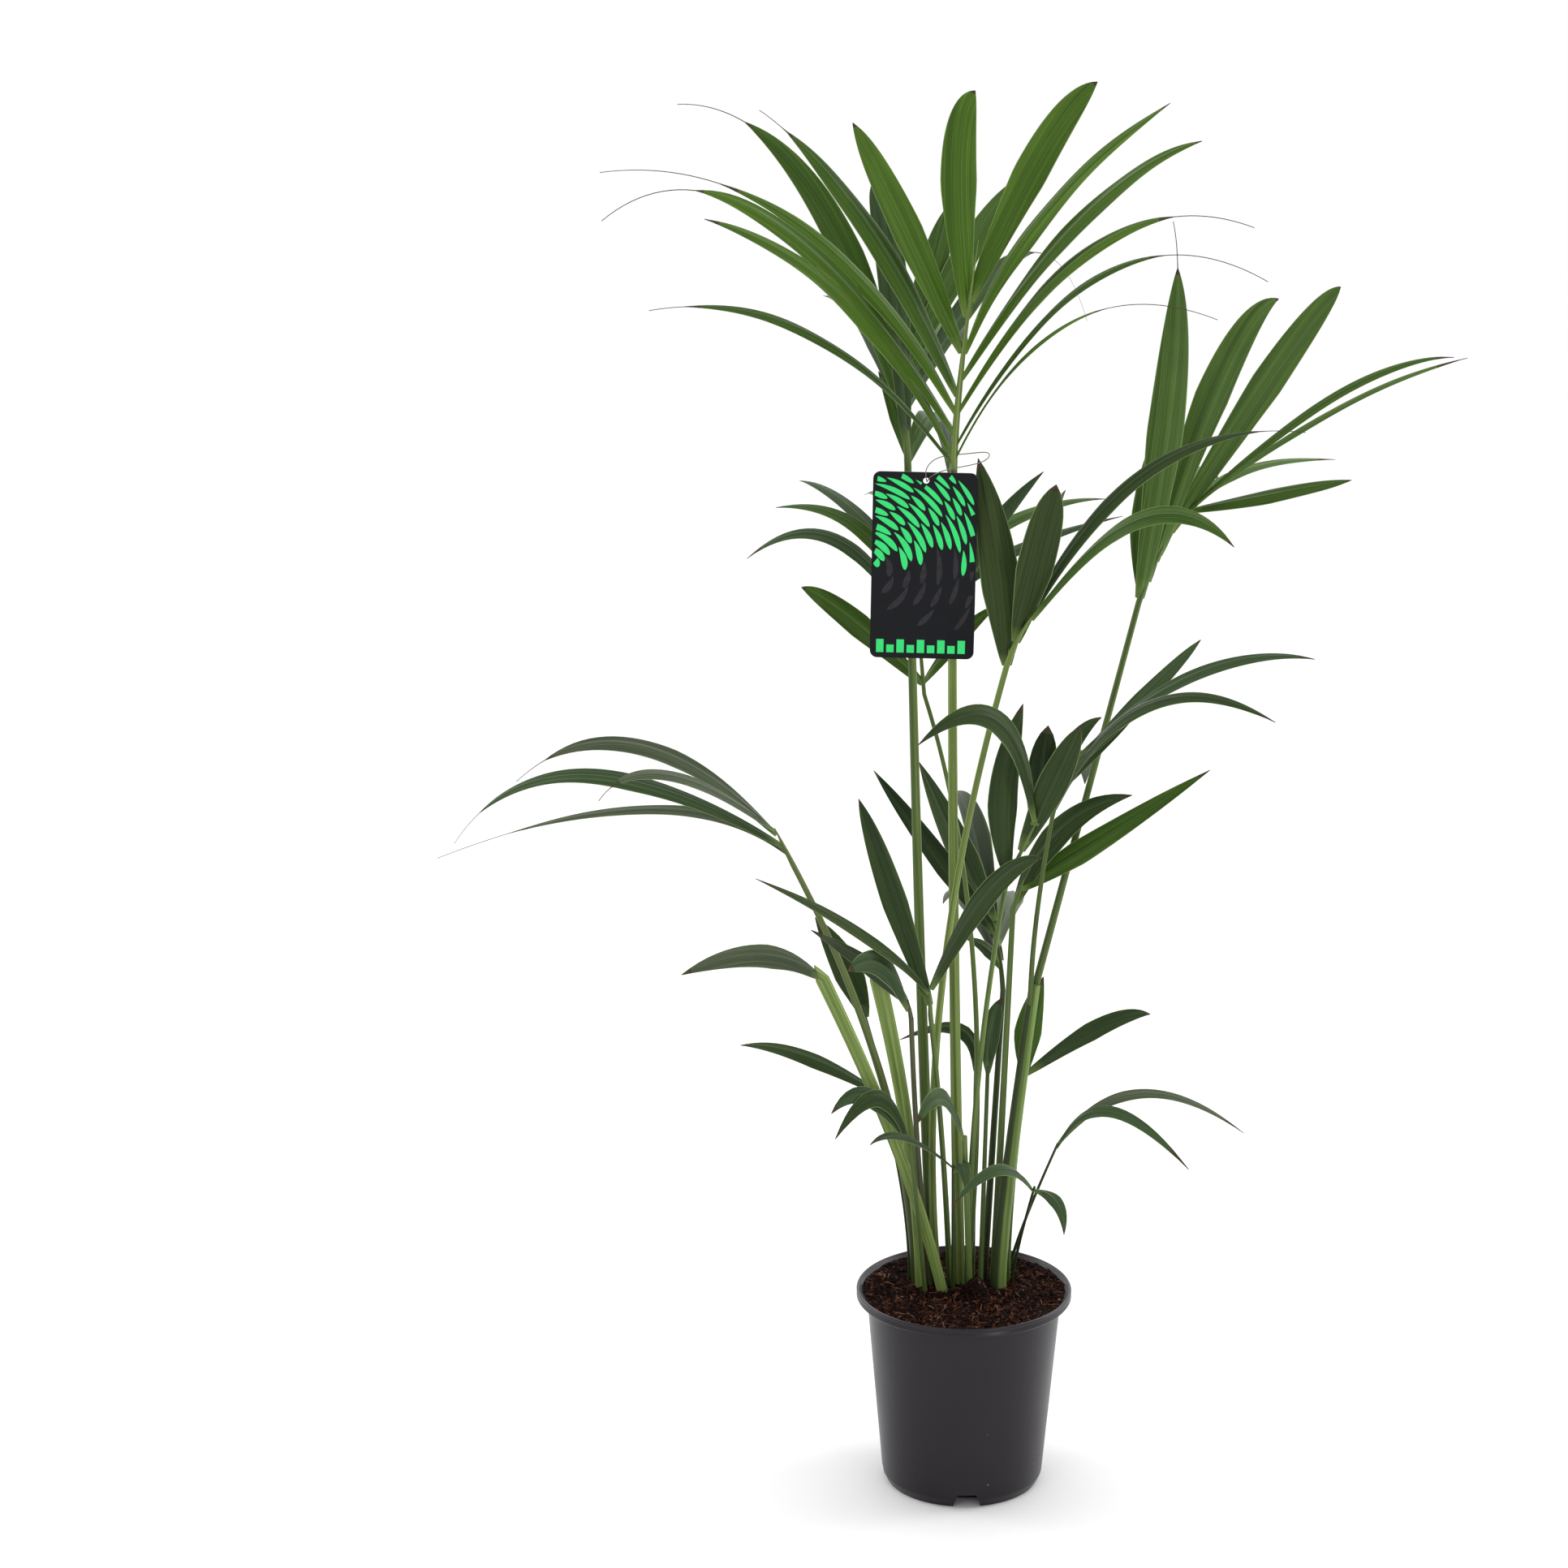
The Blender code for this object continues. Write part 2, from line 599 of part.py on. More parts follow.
def add_pot(collection, cutters):
    """The pot's shell and the compost in it, with drain notches round the foot."""
    plastic = material("pot_plastic", (0.042, 0.039, 0.047), 0.42)
    compost = material("compost", (0.040, 0.012, 0.006), 0.95)
    lip_foot = POT_HEIGHT - POT_LIP_HEIGHT
    pot = turned(
        "pot",
        (
            (0.0, POT_FLOOR),
            (POT_FOOT_RADIUS - POT_WALL, POT_FLOOR),
            (shell_radius(POT_HEEL_HEIGHT + 1.0, POT_WALL), POT_HEEL_HEIGHT + 1.0),
            (shell_radius(lip_foot, POT_WALL), lip_foot),
            (POT_RIM_RADIUS - LIP_INNER_STEP, POT_HEIGHT - LIP_ROUND),
            (POT_RIM_RADIUS - LIP_CREST_STEP, POT_HEIGHT),
            (POT_RIM_RADIUS - LIP_ROUND, POT_HEIGHT),
            (POT_RIM_RADIUS, POT_HEIGHT - LIP_ROUND),
            (POT_RIM_RADIUS, lip_foot + LIP_ROUND),
            (POT_RIM_RADIUS - LIP_ROUND, lip_foot),
            (POT_SHOULDER_RADIUS, lip_foot),
            (POT_HEEL_RADIUS, POT_HEEL_HEIGHT),
            (POT_FOOT_RADIUS, 0.0),
            (0.0, 0.0),
        ),
        plastic,
        collection,
    )
    soil_inset = POT_WALL + SOIL_GAP
    soil_heel = POT_HEEL_HEIGHT + 2.0
    mound = [POT_SHOULDER_RADIUS * SOIL_LAST_RING * i / SOIL_RINGS for i in range(SOIL_RINGS)]
    profile = [(radius, soil_height(radius, 0.0)) for radius in mound]
    profile += [
        (shell_radius(SOIL_EDGE, soil_inset), SOIL_EDGE),
        (shell_radius(soil_heel, soil_inset), soil_heel),
        (POT_FOOT_RADIUS - soil_inset - 1.0, POT_FLOOR + CLEARANCE),
        (0.0, POT_FLOOR + CLEARANCE),
    ]
    soil = turned("soil", profile, compost, collection)
    inner = POT_FOOT_RADIUS - NOTCH_DEPTH
    for i in range(NOTCH_COUNT):
        angle = math.radians(NOTCH_FIRST + 360.0 * i / NOTCH_COUNT)
        spread = NOTCH_WALL
        pocket = channel(
            f"notch_pocket_{i}",
            inner - spread,
            POT_FOOT_RADIUS - POCKET_INSET,
            NOTCH_WIDTH + 2 * spread,
            NOTCH_TOP_WIDTH + 2 * spread,
            POCKET_FOOT,
            NOTCH_HEIGHT + spread,
            angle,
            cutters,
        )
        spread = NOTCH_WALL + CLEARANCE
        room = channel(
            f"notch_room_{i}",
            inner - spread,
            POT_RIM_RADIUS,
            NOTCH_WIDTH + 2 * spread,
            NOTCH_TOP_WIDTH + 2 * spread,
            0.0,
            NOTCH_HEIGHT + spread,
            angle,
            cutters,
        )
        notch = channel(
            f"notch_{i}",
            inner,
            POT_RIM_RADIUS,
            NOTCH_WIDTH,
            NOTCH_TOP_WIDTH,
            -1.0,
            NOTCH_HEIGHT,
            angle,
            cutters,
        )
        add_boolean(pot, "UNION", pocket)
        add_boolean(pot, "DIFFERENCE", notch)
        add_boolean(soil, "DIFFERENCE", room)


def add_label(collection):
    """The hanging card, with a hole, and its closed loop of wire."""
    data = bpy.data.curves.new("label_card", "CURVE")
    data.dimensions = "2D"
    data.fill_mode = "BOTH"
    data.extrude = CARD_THICKNESS / 2 * MM
    outline = []
    for quarter, (side, end) in enumerate(((1, 1), (-1, 1), (-1, -1), (1, -1))):
        for step in range(CORNER_POINTS):
            angle = math.pi / 2 * (quarter + step / (CORNER_POINTS - 1))
            x = side * (CARD_WIDTH / 2 - CARD_CORNER) + CARD_CORNER * math.cos(angle)
            y = end * (CARD_HEIGHT / 2 - CARD_CORNER) + CARD_CORNER * math.sin(angle)
            outline.append((x, y))
    hole = []
    for step in range(HOLE_POINTS):
        angle = -2 * math.pi * step / HOLE_POINTS
        x = CARD_HOLE[0] + CARD_HOLE_RADIUS * math.cos(angle)
        y = CARD_HOLE[1] + CARD_HOLE_RADIUS * math.sin(angle)
        hole.append((x, y))
    for ring in (outline, hole):
        line = data.splines.new("POLY")
        line.points.add(len(ring) - 1)
        for point, (x, y) in zip(line.points, ring):
            point.co = (x * MM, y * MM, 0.0, 1.0)
        line.use_cyclic_u = True
    face = material("label_face", (0.010, 0.011, 0.016), 0.3)
    card = add_object("label_card", data, face, collection)
    card.location = Vector(CARD_CENTRE) * MM
    card.rotation_euler = (math.radians(90.0), math.radians(CARD_TILT), 0.0)

    wire = bpy.data.curves.new("label_wire", "CURVE")
    wire.dimensions = "3D"
    wire.bevel_depth = WIRE_RADIUS * MM
    wire.bevel_resolution = 1
    line = wire.splines.new("POLY")
    line.points.add(WIRE_POINTS - 1)
    line.use_cyclic_u = True
    tilt = math.radians(-CARD_TILT)
    hole_x = CARD_CENTRE[0] + CARD_HOLE[0] * math.cos(tilt) - CARD_HOLE[1] * math.sin(tilt)
    hole_z = CARD_CENTRE[2] + CARD_HOLE[0] * math.sin(tilt) + CARD_HOLE[1] * math.cos(tilt)
    middle = Vector((hole_x + WIRE_SIDE, CARD_CENTRE[1] + WIRE_BACK, hole_z + WIRE_RISE))
    for i, point in enumerate(line.points):
        angle = 2 * math.pi * i / WIRE_POINTS
        place = middle + Vector(
            (WIRE_REACH * math.cos(angle), WIRE_DEPTH * math.sin(angle), WIRE_RISE * math.cos(angle))
        )
        point.co = (*(place * MM), 1.0)
    add_object("label_wire", wire, material("wire_grey", (0.16, 0.13, 0.10), 0.5, 0.6), collection)


def main():
    for old in list(bpy.data.objects):
        bpy.data.objects.remove(old)
    palm = bpy.data.collections.new("kentia_palm")
    bpy.context.scene.collection.children.link(palm)
    cutters = bpy.data.collections.new("cutters")
    bpy.context.scene.collection.children.link(cutters)
    add_pot(palm, cutters)
    add_label(palm)
    for name, (limb, color) in BARE_LIMBS.items():
        finish = material(name + "_green", color, 0.5)
        if limb.flat < 1.0:
            mesh, _ = stalk_mesh(name, limb, standing(limb))
            add_object(name, mesh, finish, palm)
        else:
            tube(name, limb, standing(limb), finish, palm)
    for name, frond in FRONDS.items():
        add_frond(name, frond, palm)
    for name, leaf in LOW_LEAVES.items():
        add_low_leaf(name, leaf, palm)


main()
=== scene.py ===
"""Looks of the kentia palm and its nursery pot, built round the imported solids.

The tables are in millimetres, as the plant was measured, and MM turns them to metres. The origin is the
centre of the pot's flat underside, +Z is up and -Y is towards the viewer.
"""

import itertools
import math
import random
from collections import namedtuple

import bmesh
import bpy
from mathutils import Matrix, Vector, noise


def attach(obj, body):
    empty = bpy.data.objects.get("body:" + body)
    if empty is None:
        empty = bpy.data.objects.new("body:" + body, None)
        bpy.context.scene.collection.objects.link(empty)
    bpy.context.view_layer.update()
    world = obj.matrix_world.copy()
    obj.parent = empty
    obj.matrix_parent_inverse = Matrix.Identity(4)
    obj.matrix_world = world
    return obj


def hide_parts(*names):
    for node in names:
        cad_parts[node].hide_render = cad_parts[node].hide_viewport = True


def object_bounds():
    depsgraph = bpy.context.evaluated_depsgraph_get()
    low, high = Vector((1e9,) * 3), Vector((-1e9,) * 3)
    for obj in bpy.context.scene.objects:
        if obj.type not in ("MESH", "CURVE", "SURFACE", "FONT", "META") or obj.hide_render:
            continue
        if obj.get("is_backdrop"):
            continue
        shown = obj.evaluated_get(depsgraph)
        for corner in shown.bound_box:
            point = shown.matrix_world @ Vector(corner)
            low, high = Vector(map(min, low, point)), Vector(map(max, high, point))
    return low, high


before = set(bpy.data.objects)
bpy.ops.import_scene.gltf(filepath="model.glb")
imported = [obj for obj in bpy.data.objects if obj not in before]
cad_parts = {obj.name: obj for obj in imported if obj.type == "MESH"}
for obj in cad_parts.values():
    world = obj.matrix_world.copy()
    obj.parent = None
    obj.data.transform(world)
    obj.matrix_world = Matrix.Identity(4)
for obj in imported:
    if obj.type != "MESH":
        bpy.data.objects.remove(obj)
solid_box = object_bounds()

MM = 0.001
TAU = 2.0 * math.pi
FRONT = Vector((0.0, -1.0, 0.0))
UP = Vector((0.0, 0.0, 1.0))

# Camera, fitted to the photograph
CAMERA_PLACE = (0.0, -4.0, 1.892)
CAMERA_PITCH = 17.65
CAMERA_TURN = 2.18
CAMERA_LENS = 117.52
CAMERA_REACH = 100.0
SENSOR_WIDTH = 36.0

# Light and floor. A lamp has its place, the spot it points at, its size in metres and its power in watts.
WORLD_LIGHT = 0.83
SKY_LIGHT = 2.5
SKY_ANGLE = 130.0
SKY_TILT = -46.0
LAMPS = {
    "top_box": ((0.3, 0.3, 3.4), (0.0, 0.0, 0.5), (2.4, 2.4), 16.0),
    "front_box": ((-1.9, -3.2, 2.0), (0.0, 0.0, 0.6), (1.6, 1.8), 18.0),
    "right_strip": ((2.0, 0.6, 0.8), (0.0, 0.0, 0.4), (0.8, 2.2), 26.0),
    "left_strip": ((-2.0, 0.6, 0.8), (0.0, 0.0, 0.4), (0.8, 2.2), 18.0),
    "low_front_strip": ((1.5, -2.3, 0.5), (0.0, 0.0, 0.1), (0.15, 0.9), 12.0),
}
FLOOR_TONE = 0.71
FLOOR_REACH = 30.0

# Pot
POT_HEIGHT = 174.0
POT_RIM_RADIUS = 91.0
POT_LIP_HEIGHT = 8.0
POT_SHOULDER_RADIUS = 82.0
POT_HEEL_RADIUS = 68.0
POT_HEEL_HEIGHT = 8.0
POT_FOOT_RADIUS = 63.8
POT_WALL = 1.7
POT_FLOOR = 2.5
POT_SIDES = 160
WALL_RINGS = 12
WALL_STEP = 12.0
NOTCH_COUNT = 4
NOTCH_WIDTH = 24.0
NOTCH_TOP_WIDTH = 17.0
NOTCH_HEIGHT = 12.5
NOTCH_DEPTH = 18.0
NOTCH_ROUNDING = 2.2
NOTCH_FIRST = -86.0

# Compost
SOIL_EDGE = 166.0
SOIL_CROWN = 168.0
SOIL_RINGS = 56
SOIL_SIDES = 150
SOIL_DEPTH = 24.0
SOIL_RIM_RADIUS = 87.0
SOIL_BANK_FROM = 62.0
SOIL_BANK_RISE = 5.4
SOIL_CALM_WIDTH = 5.0
SOIL_SUNK = 0.4
CLODS = (2.6, 0.055, 1.7)
LUMPS = (2.3, 0.24, 4.2)
GRAINS = (0.9, 0.62, 9.1)
LUMP_PLACE = (10.0, -4.0)
LUMP_RADIUS = 9.8
LUMP_RISE = 15.0
SCATTER_REACH = 0.98
FIBRE_SEED = 41
FIBRE_COUNT = 1500
FIBRE_POINTS = 6
FIBRE_CURL = 0.09
FIBRE_STEP = (0.8, 2.4)
FIBRE_ARCH = (0.2, 2.2)
FIBRE_RADIUS = (0.12, 0.34)
FIBRE_TONES = {"fibre_rust": 6, "fibre_tan": 2, "fibre_dark": 5}
CRUMB_SEED = 17
CRUMB_COUNT = 3400
CRUMB_SHAPE = ((0.7, 1.4), (0.7, 1.4), (0.5, 1.0))
CRUMB_TONES = {"damp_coir": 4, "fibre_rust": 4, "fibre_dark": 3}

# Label
CARD_WIDTH = 84.0
CARD_HEIGHT = 155.0
CARD_THICKNESS = 0.8
CARD_CORNER = 6.0
CARD_CENTRE = (-39.0, -22.0, 811.0)
CARD_TILT = 0.8
CARD_HOLE = (0.5, 70.5)
CARD_HOLE_RADIUS = 2.5
CARD_HOLE_SIDES = 36
CORNER_STEPS = 8
PRINT_SEED = 5
PRINT_MARGIN = 1.2
PRINT_SUNK = 0.02
GREEN_PROUD = 0.05
GREY_PROUD = 0.03
GREEN_LOWEST = -9.0
GREY_LOWEST = -56.0
PRINT_CENTRE = (-CARD_WIDTH * 0.58, -CARD_HEIGHT * 0.06)
PRINT_RINGS = 15
PRINT_STEP = 6.6
PRINT_INNER_RADIUS = 16.0
STROKE_LENGTH = (16.0, 34.0)
STROKE_STEPS = 16
STROKE_WIDTH = 5.6
STROKE_THINNING = 0.14
STROKE_LEAN = 3.2
STROKE_LONGEST = 0.75
STROKE_ANGLES = (-0.95, 1.6)
STROKE_SHIFT = 0.21
PRINT_BLOCKS = 9
BLOCK_MARGIN = 5.0
BLOCK_GAP = 2.2
BLOCK_FOOT = 4.5
BLOCK_HEIGHTS = (11.0, 6.5)
WIRE_RADIUS = 0.42
# The loop from the card's hole, round the stalk and back: right, back and up
WIRE_LOOP = (
    (0.0, -1.2, 2.4), (-1.0, -1.0, 9.0), (3.0, 2.0, 14.5), (9.0, 6.5, 17.5), (16.0, 11.0, 18.0),
    (24.0, 13.0, 18.5), (33.0, 12.0, 19.5), (42.0, 8.5, 21.5), (48.5, 4.0, 23.0), (51.0, 0.0, 22.0),
    (49.0, -3.5, 19.0), (43.0, -6.0, 16.5), (34.0, -7.0, 14.5), (24.0, -6.8, 12.5), (14.0, -5.5, 10.0),
    (6.0, -3.0, 6.0), (1.5, 0.5, 1.5), (0.5, 1.6, -2.6),
)

# Leaflets: the outline rule is the source's, cut finer
THREAD_WIDTH = 1.3
ROOT_SHARE = 0.24
SWELL_END = 0.4
SWELL_POWER = 0.8
FALL_POWER = 0.9
BLADE_STEP = 8.0
BLADE_ROWS = (12, 40)
BLADE_COLUMNS = 12
BLADE_THICK = 0.5
BLADE_EDGE_THICK = 0.28
BLADE_TWIST = 11.0
BLADE_PLEATS = (2.0, 3.0, 3.0, 4.0)
BLADE_FOLD = 0.16
ROOT_FOLD = 0.55
ROOT_FOLD_REACH = 22.0
FULL_HALF = 9.0
PLEAT_DEPTH = 0.32
MIDRIB_RISE = 0.30
MIDRIB_HALF = 0.8
RIPPLE_RISE = 0.9
RIPPLE_REACH = 24.0
RIPPLE_LAG = 0.9
HAIR_HALF = 1.1
MAP_SHIFT = 900.0
LEAF_GLOSS = 0.09

# Limbs
CLEARANCE = 0.3
RIB_GAP = 1.5
FOOT_LIFT = 0.16
ARCH_LEAN = 0.15
ARC_STEPS = 12
STALK_STEP = 11.0
STALK_SIDES = 22
STALK_SUNK = 9.0
LIMB_SUNK = 24.0
STALK_FLAT = 0.86
THIN_FLAT = 0.8
RIB_TAPER = 0.75
GROOVE_DEPTH = 0.16
STALK_RIDGES = (9, 0.028)
SHEATH_RIDGES = (11, 0.035)
CLASP_SWELL = 0.05
CLASP_REACH = 40.0

# First random seed of each kind of piece, and the step from one piece to the next
FROND_SEEDS = (100, 40)
LOW_LEAF_SEEDS = (900, 10)
BARE_LIMB_SEEDS = (1201, 1)

# Slots of the leaves
CROWN = "leaf_crown"
SHADE = "leaf_shade"

# foot and head in millimetres; bow lifts the middle off the straight line, bend says how far along it sits;
# widths are across the foot and the head, and flat is the thickness as a share of the width
Limb = namedtuple("Limb", "foot head bow bend widths flat", defaults=(0.0, 0.5, (6.0, 4.0), 1.0))
# at is the share of the rib where the leaflet grows; reach goes from there to its tip; turn is how far its
# face turns up from the viewer, in degrees; taper is high for a full tip; thread is the share that is a
# thread at the tip
Leaflet = namedtuple("Leaflet", "at reach bow bend width turn taper thread", defaults=(0.0, 3.0, 0.0))


def leaflets(*rows):
    return [Leaflet(*row) for row in rows]


FRONDS = {
    "crown_front": dict(
        stalk=Limb((-4, 24), (-16, -15, 889), -2.5, 0.6, (10.0, 6.5)),
        rib=Limb(None, (2, -40, 1081), 2.5, 0.35, (6.0, 3.0)),
        slot=CROWN,
        leaflets=leaflets(
            (0.72, (4, -30, 186), 15, 0.85, 30, 0, 3.5),
            (0.78, (97, -20, 179), 10, 0.8, 28, 10, 4.0),
            (0.58, (-87, -60, 194), 2.5, 0.75, 27, 20),
            (0.39, (-155, -80, 242), 17.5, 0.65, 24, 35, 3.0, 0.12),
            (0.31, (-275, -110, 212), 52.5, 0.65, 22, 45, 2.0, 0.3),
            (0.2, (-270, -150, 200), 67.5, 0.85, 23, 40, 3.0, 0.3),
            (0.07, (-192, -130, 217), 30, 0.6, 20, 45),
            (0.02, (-232, -170, 161), 40, 0.6, 15, 55, 3.0, 0.1),
            (0.58, (157, -60, 211), 20, 0.5, 22, 50),
            (0.47, (183, -90, 208), 22.5, 0.7, 22, 50),
            (0.31, (225, -130, 177), 52.5, 0.7, 18, 50, 3.0, 0.25),
            (0.12, (237, -160, 171), 65, 0.7, 13, 55, 3.0, 0.3),
            (0.04, (199, -180, 157), 52.5, 0.6, 9, 55, 3.0, 0.35),
        ),
    ),
    "crown_rear": dict(
        stalk=Limb((-26, 27), (-53, 30, 880), -2.5, 0.3, (10.0, 6.0)),
        rib=Limb(None, (-58, 62, 964), 0.0, 0.5, (5.5, 3.0)),
        slot=SHADE,
        leaflets=leaflets(
            (0.4, (-191, 120, 236), 55, 0.75, 27, 10, 3.0, 0.25),
            (0.14, (-31, 60, 206), 10, 0.9, 25, 20, 5.0),
            (0.74, (34, 110, 126), 0, 0.55, 26, 0, 5.0),
            (0.82, (95, 150, 135), 10, 0.7, 24, 10),
            (0.49, (150, 200, 32), 82.5, 0.8, 19, 20, 3.0, 0.4),
            (0.06, (-25, 50, 60), 5, 0.55, 14, 20),
            (0.91, (0, 230, -10), 30, 0.55, 26, 30),
            (0.3, (-75, 240, 60), 30, 0.5, 18, 45),
            (0.04, (35, 250, -90), 50, 0.3, 24, 60),
            (0.6, (50, 290, -25), 45, 0.5, 24, 60),
        ),
    ),
    "right_tall": dict(
        stalk=Limb((59, 22, 447), (137, 65, 757), 0.0, 0.5, (6.5, 5.0)),
        rib=Limb(None, (177, 95, 830), 5.0, 0.7, (5.0, 3.0)),
        slot=CROWN,
        leaflets=leaflets(
            (0.02, (20, 0, 315), -10, 0.8, 32, 0, 3.0, 0.22),
            (0.04, (10, 60, 120), 10, 0.5, 21, 20),
            (0.32, (98, 50, 210), 17.5, 0.9, 30, 0),
            (0.63, (135, 30, 200), 5, 0.9, 28, 10),
            (0.79, (217, -40, 148), 22.5, 0.75, 11, 55),
            (0.87, (220, -90, 155), 15, 0.6, 8, 55),
            (0.95, (130, 120, 15), 17.5, 0.3, 12, 60),
            (0.97, (130, -60, 42), 0, 0.7, 17, 50),
            (0.16, (50, 240, 75), 20, 0.55, 26, 45),
            (0.4, (60, 260, -5), 35, 0.55, 24, 60),
            (0.06, (20, 280, 5), 35, 0.5, 24, 60),
        ),
    ),
    "middle_right": dict(
        stalk=Limb((-22, 19), (28, -30, 727), 25.0, 0.45, (6.5, 5.0)),
        rib=Limb(None, (51, -45, 779), 2.5, 0.5, (5.0, 3.0)),
        slot=SHADE,
        leaflets=leaflets(
            (0.03, (-25, 25, 166), 5, 0.45, 33, 0, 4.0),
            (0.42, (30, -20, 137), 0, 0.6, 30, 0, 6.0),
            (0.67, (225, 60, 150), 50, 0.6, 15, 50, 3.0, 0.12),
            (0.89, (155, -110, 90), 45, 0.8, 22, 50),
            (0.24, (45, 200, 85), 20, 0.45, 22, 40),
        ),
    ),
    "label_rear": dict(
        stalk=Limb((3, 32), (-38, 60, 677), 25.0, 0.6, (5.0, 3.5)),
        rib=Limb(None, (-49, 85, 787), 0.0, 0.5, (3.5, 2.5)),
        slot=SHADE,
        leaflets=leaflets(
            (0.08, (-100, -30, 90), 5, 0.8, 22, 20),
            (0.38, (-145, 40, 60), 50, 0.7, 15, 50),
            (0.63, (-120, 80, 65), 30, 0.55, 15, 50),
            (0.81, (-100, 130, 55), 15, 0.65, 14, 50),
            (0.94, (-45, 200, 10), 25, 0.5, 16, 30),
            (0.31, (100, 60, 140), 10, 0.6, 18, 20),
            (0.09, (60, 40, 55), 5, 0.7, 14, 40),
            (0.5, (170, 120, 65), 20, 0.35, 14, 55),
            (0.69, (160, 170, 45), 25, 0.5, 14, 55),
            (0.94, (-35, 240, -60), 40, 0.5, 24, 60),
        ),
    ),
    "inner_front": dict(
        stalk=Limb((3, 16), (31, -65, 559), 10.0, 0.5, (5.0, 4.0)),
        rib=Limb(None, (55, -85, 618), 0.0, 0.5, (4.0, 3.0)),
        slot=SHADE,
        leaflets=leaflets(
            (0.03, (10, -10, 150), 10, 0.45, 25, 0, 4.0),
            (0.96, (-95, -70, 85), 50, 0.75, 22, 30),
            (0.9, (10, 30, 75), 0, 0.5, 24, 0, 6.0),
            (0.46, (45, -30, 115), 0, 0.75, 27, 0),
            (0.58, (60, 10, 105), 10, 0.8, 18, 20),
        ),
    ),
    "right_low": dict(
        stalk=Limb((53, 12, 447), (68, -10, 596), 2.5, 0.4, (4.5, 3.6)),
        rib=Limb(None, (90, -20, 656), 2.5, 0.5, (3.6, 2.6)),
        slot=SHADE,
        leaflets=leaflets(
            (0.66, (105, 10, 110), 0, 0.75, 15, 30),
            (0.39, (100, 60, 100), 0, 0.6, 13, 40),
            (0.94, (185, -60, 100), 25, 0.65, 15, 55),
            (0.1, (170, -130, 115), 50, 0.6, 15, 50),
            (0.59, (20, 215, -75), 25, 0.5, 23, 50),
        ),
    ),
    "right_inner": dict(
        stalk=Limb((25, 31), (37, 12, 507), 0.0, 0.8, (6.5, 4.6)),
        rib=Limb(None, (46, 9, 536), 0.0, 0.5, (4.6, 3.2)),
        slot=SHADE,
        leaflets=leaflets(
            (0.2, (95, 8, 92), 20, 0.6, 24, 30),
            (0.67, (155, 30, 95), 0, 0.3, 22, 30),
        ),
    ),
    "pair_front": dict(
        stalk=Limb((-12, 18), (-30, -30, 428), 2.5, 0.55, (5.0, 4.2)),
        rib=Limb(None, (-31, -34, 456), 0.0, 0.5, (4.2, 3.6)),
        slot=SHADE,
        leaflets=leaflets(
            (0.33, (-60, 10, 175), 0, 0.7, 23, 0),
            (0.9, (90, -60, 135), 15, 0.8, 22, 30),
            (0.75, (-140, -80, 125), 10, 0.35, 14, 50),
        ),
    ),
    "left_arching": dict(
        stalk=Limb((-40, 24), (-143, -20, 553), 20.0, 0.45, (9.0, 4.6)),
        rib=Limb(None, (-159, -24, 588), 0.0, 0.5, (4.6, 3.0)),
        slot=SHADE,
        leaflets=leaflets(
            (0.85, (-210, -40, 55), 50, 0.7, 20, 55, 3.0, 0.12),
            (0.95, (-135, -130, 65), 30, 0.85, 15, 50, 3.0, 0.12),
            (0.53, (-275, 40, -15), 60, 0.7, 18, 55, 3.0, 0.12),
            (0.34, (-300, 110, -45), 40, 0.25, 13, 60, 3.0, 0.15),
        ),
    ),
    "left_broad": dict(
        stalk=Limb((-19, 8), (-118, -60, 469), 7.5, 0.4, (9.0, 12.0), 0.35),
        rib=Limb(None, (-125, -62, 483), 0.0, 0.5, (10.0, 4.0), 0.4),
        slot=SHADE,
        leaflets=leaflets((0.2, (-110, -70, 25), 17.5, 0.45, 24, 40)),
    ),
    "left_pair": dict(
        stalk=Limb((-29, 15), (-46, -24, 422), -2.5, 0.5, (5.0, 4.2)),
        rib=Limb(None, (-49, -28, 442), 0.0, 0.5, (4.2, 3.6)),
        slot=SHADE,
        leaflets=leaflets(
            (0.8, (-80, -20, 70), 5, 0.3, 17, 30),
            (0.44, (-50, -60, 55), 20, 0.7, 21, 30, 6.0),
        ),
    ),
    "rear_fan": dict(
        stalk=Limb((17, 34), (30, 70, 414), 0.0, 0.5, (6.5, 4.6)),
        rib=Limb(None, (20, 95, 472), 2.5, 0.5, (4.6, 3.2)),
        slot=SHADE,
        leaflets=leaflets(
            (0.76, (-105, 60, 125), 0, 0.5, 20, 10),
            (0.94, (-65, 130, 100), 0, 0.45, 27, 0),
            (0.88, (-35, 200, 55), 20, 0.7, 24, 0),
            (0.29, (-30, -10, 30), 5, 0.55, 12, 30),
            (0.82, (-15, 270, -45), 30, 0.55, 24, 40),
            (0.64, (15, 290, -80), 35, 0.5, 26, 50),
            (0.41, (-50, 260, -40), 35, 0.5, 26, 50),
        ),
    ),
}

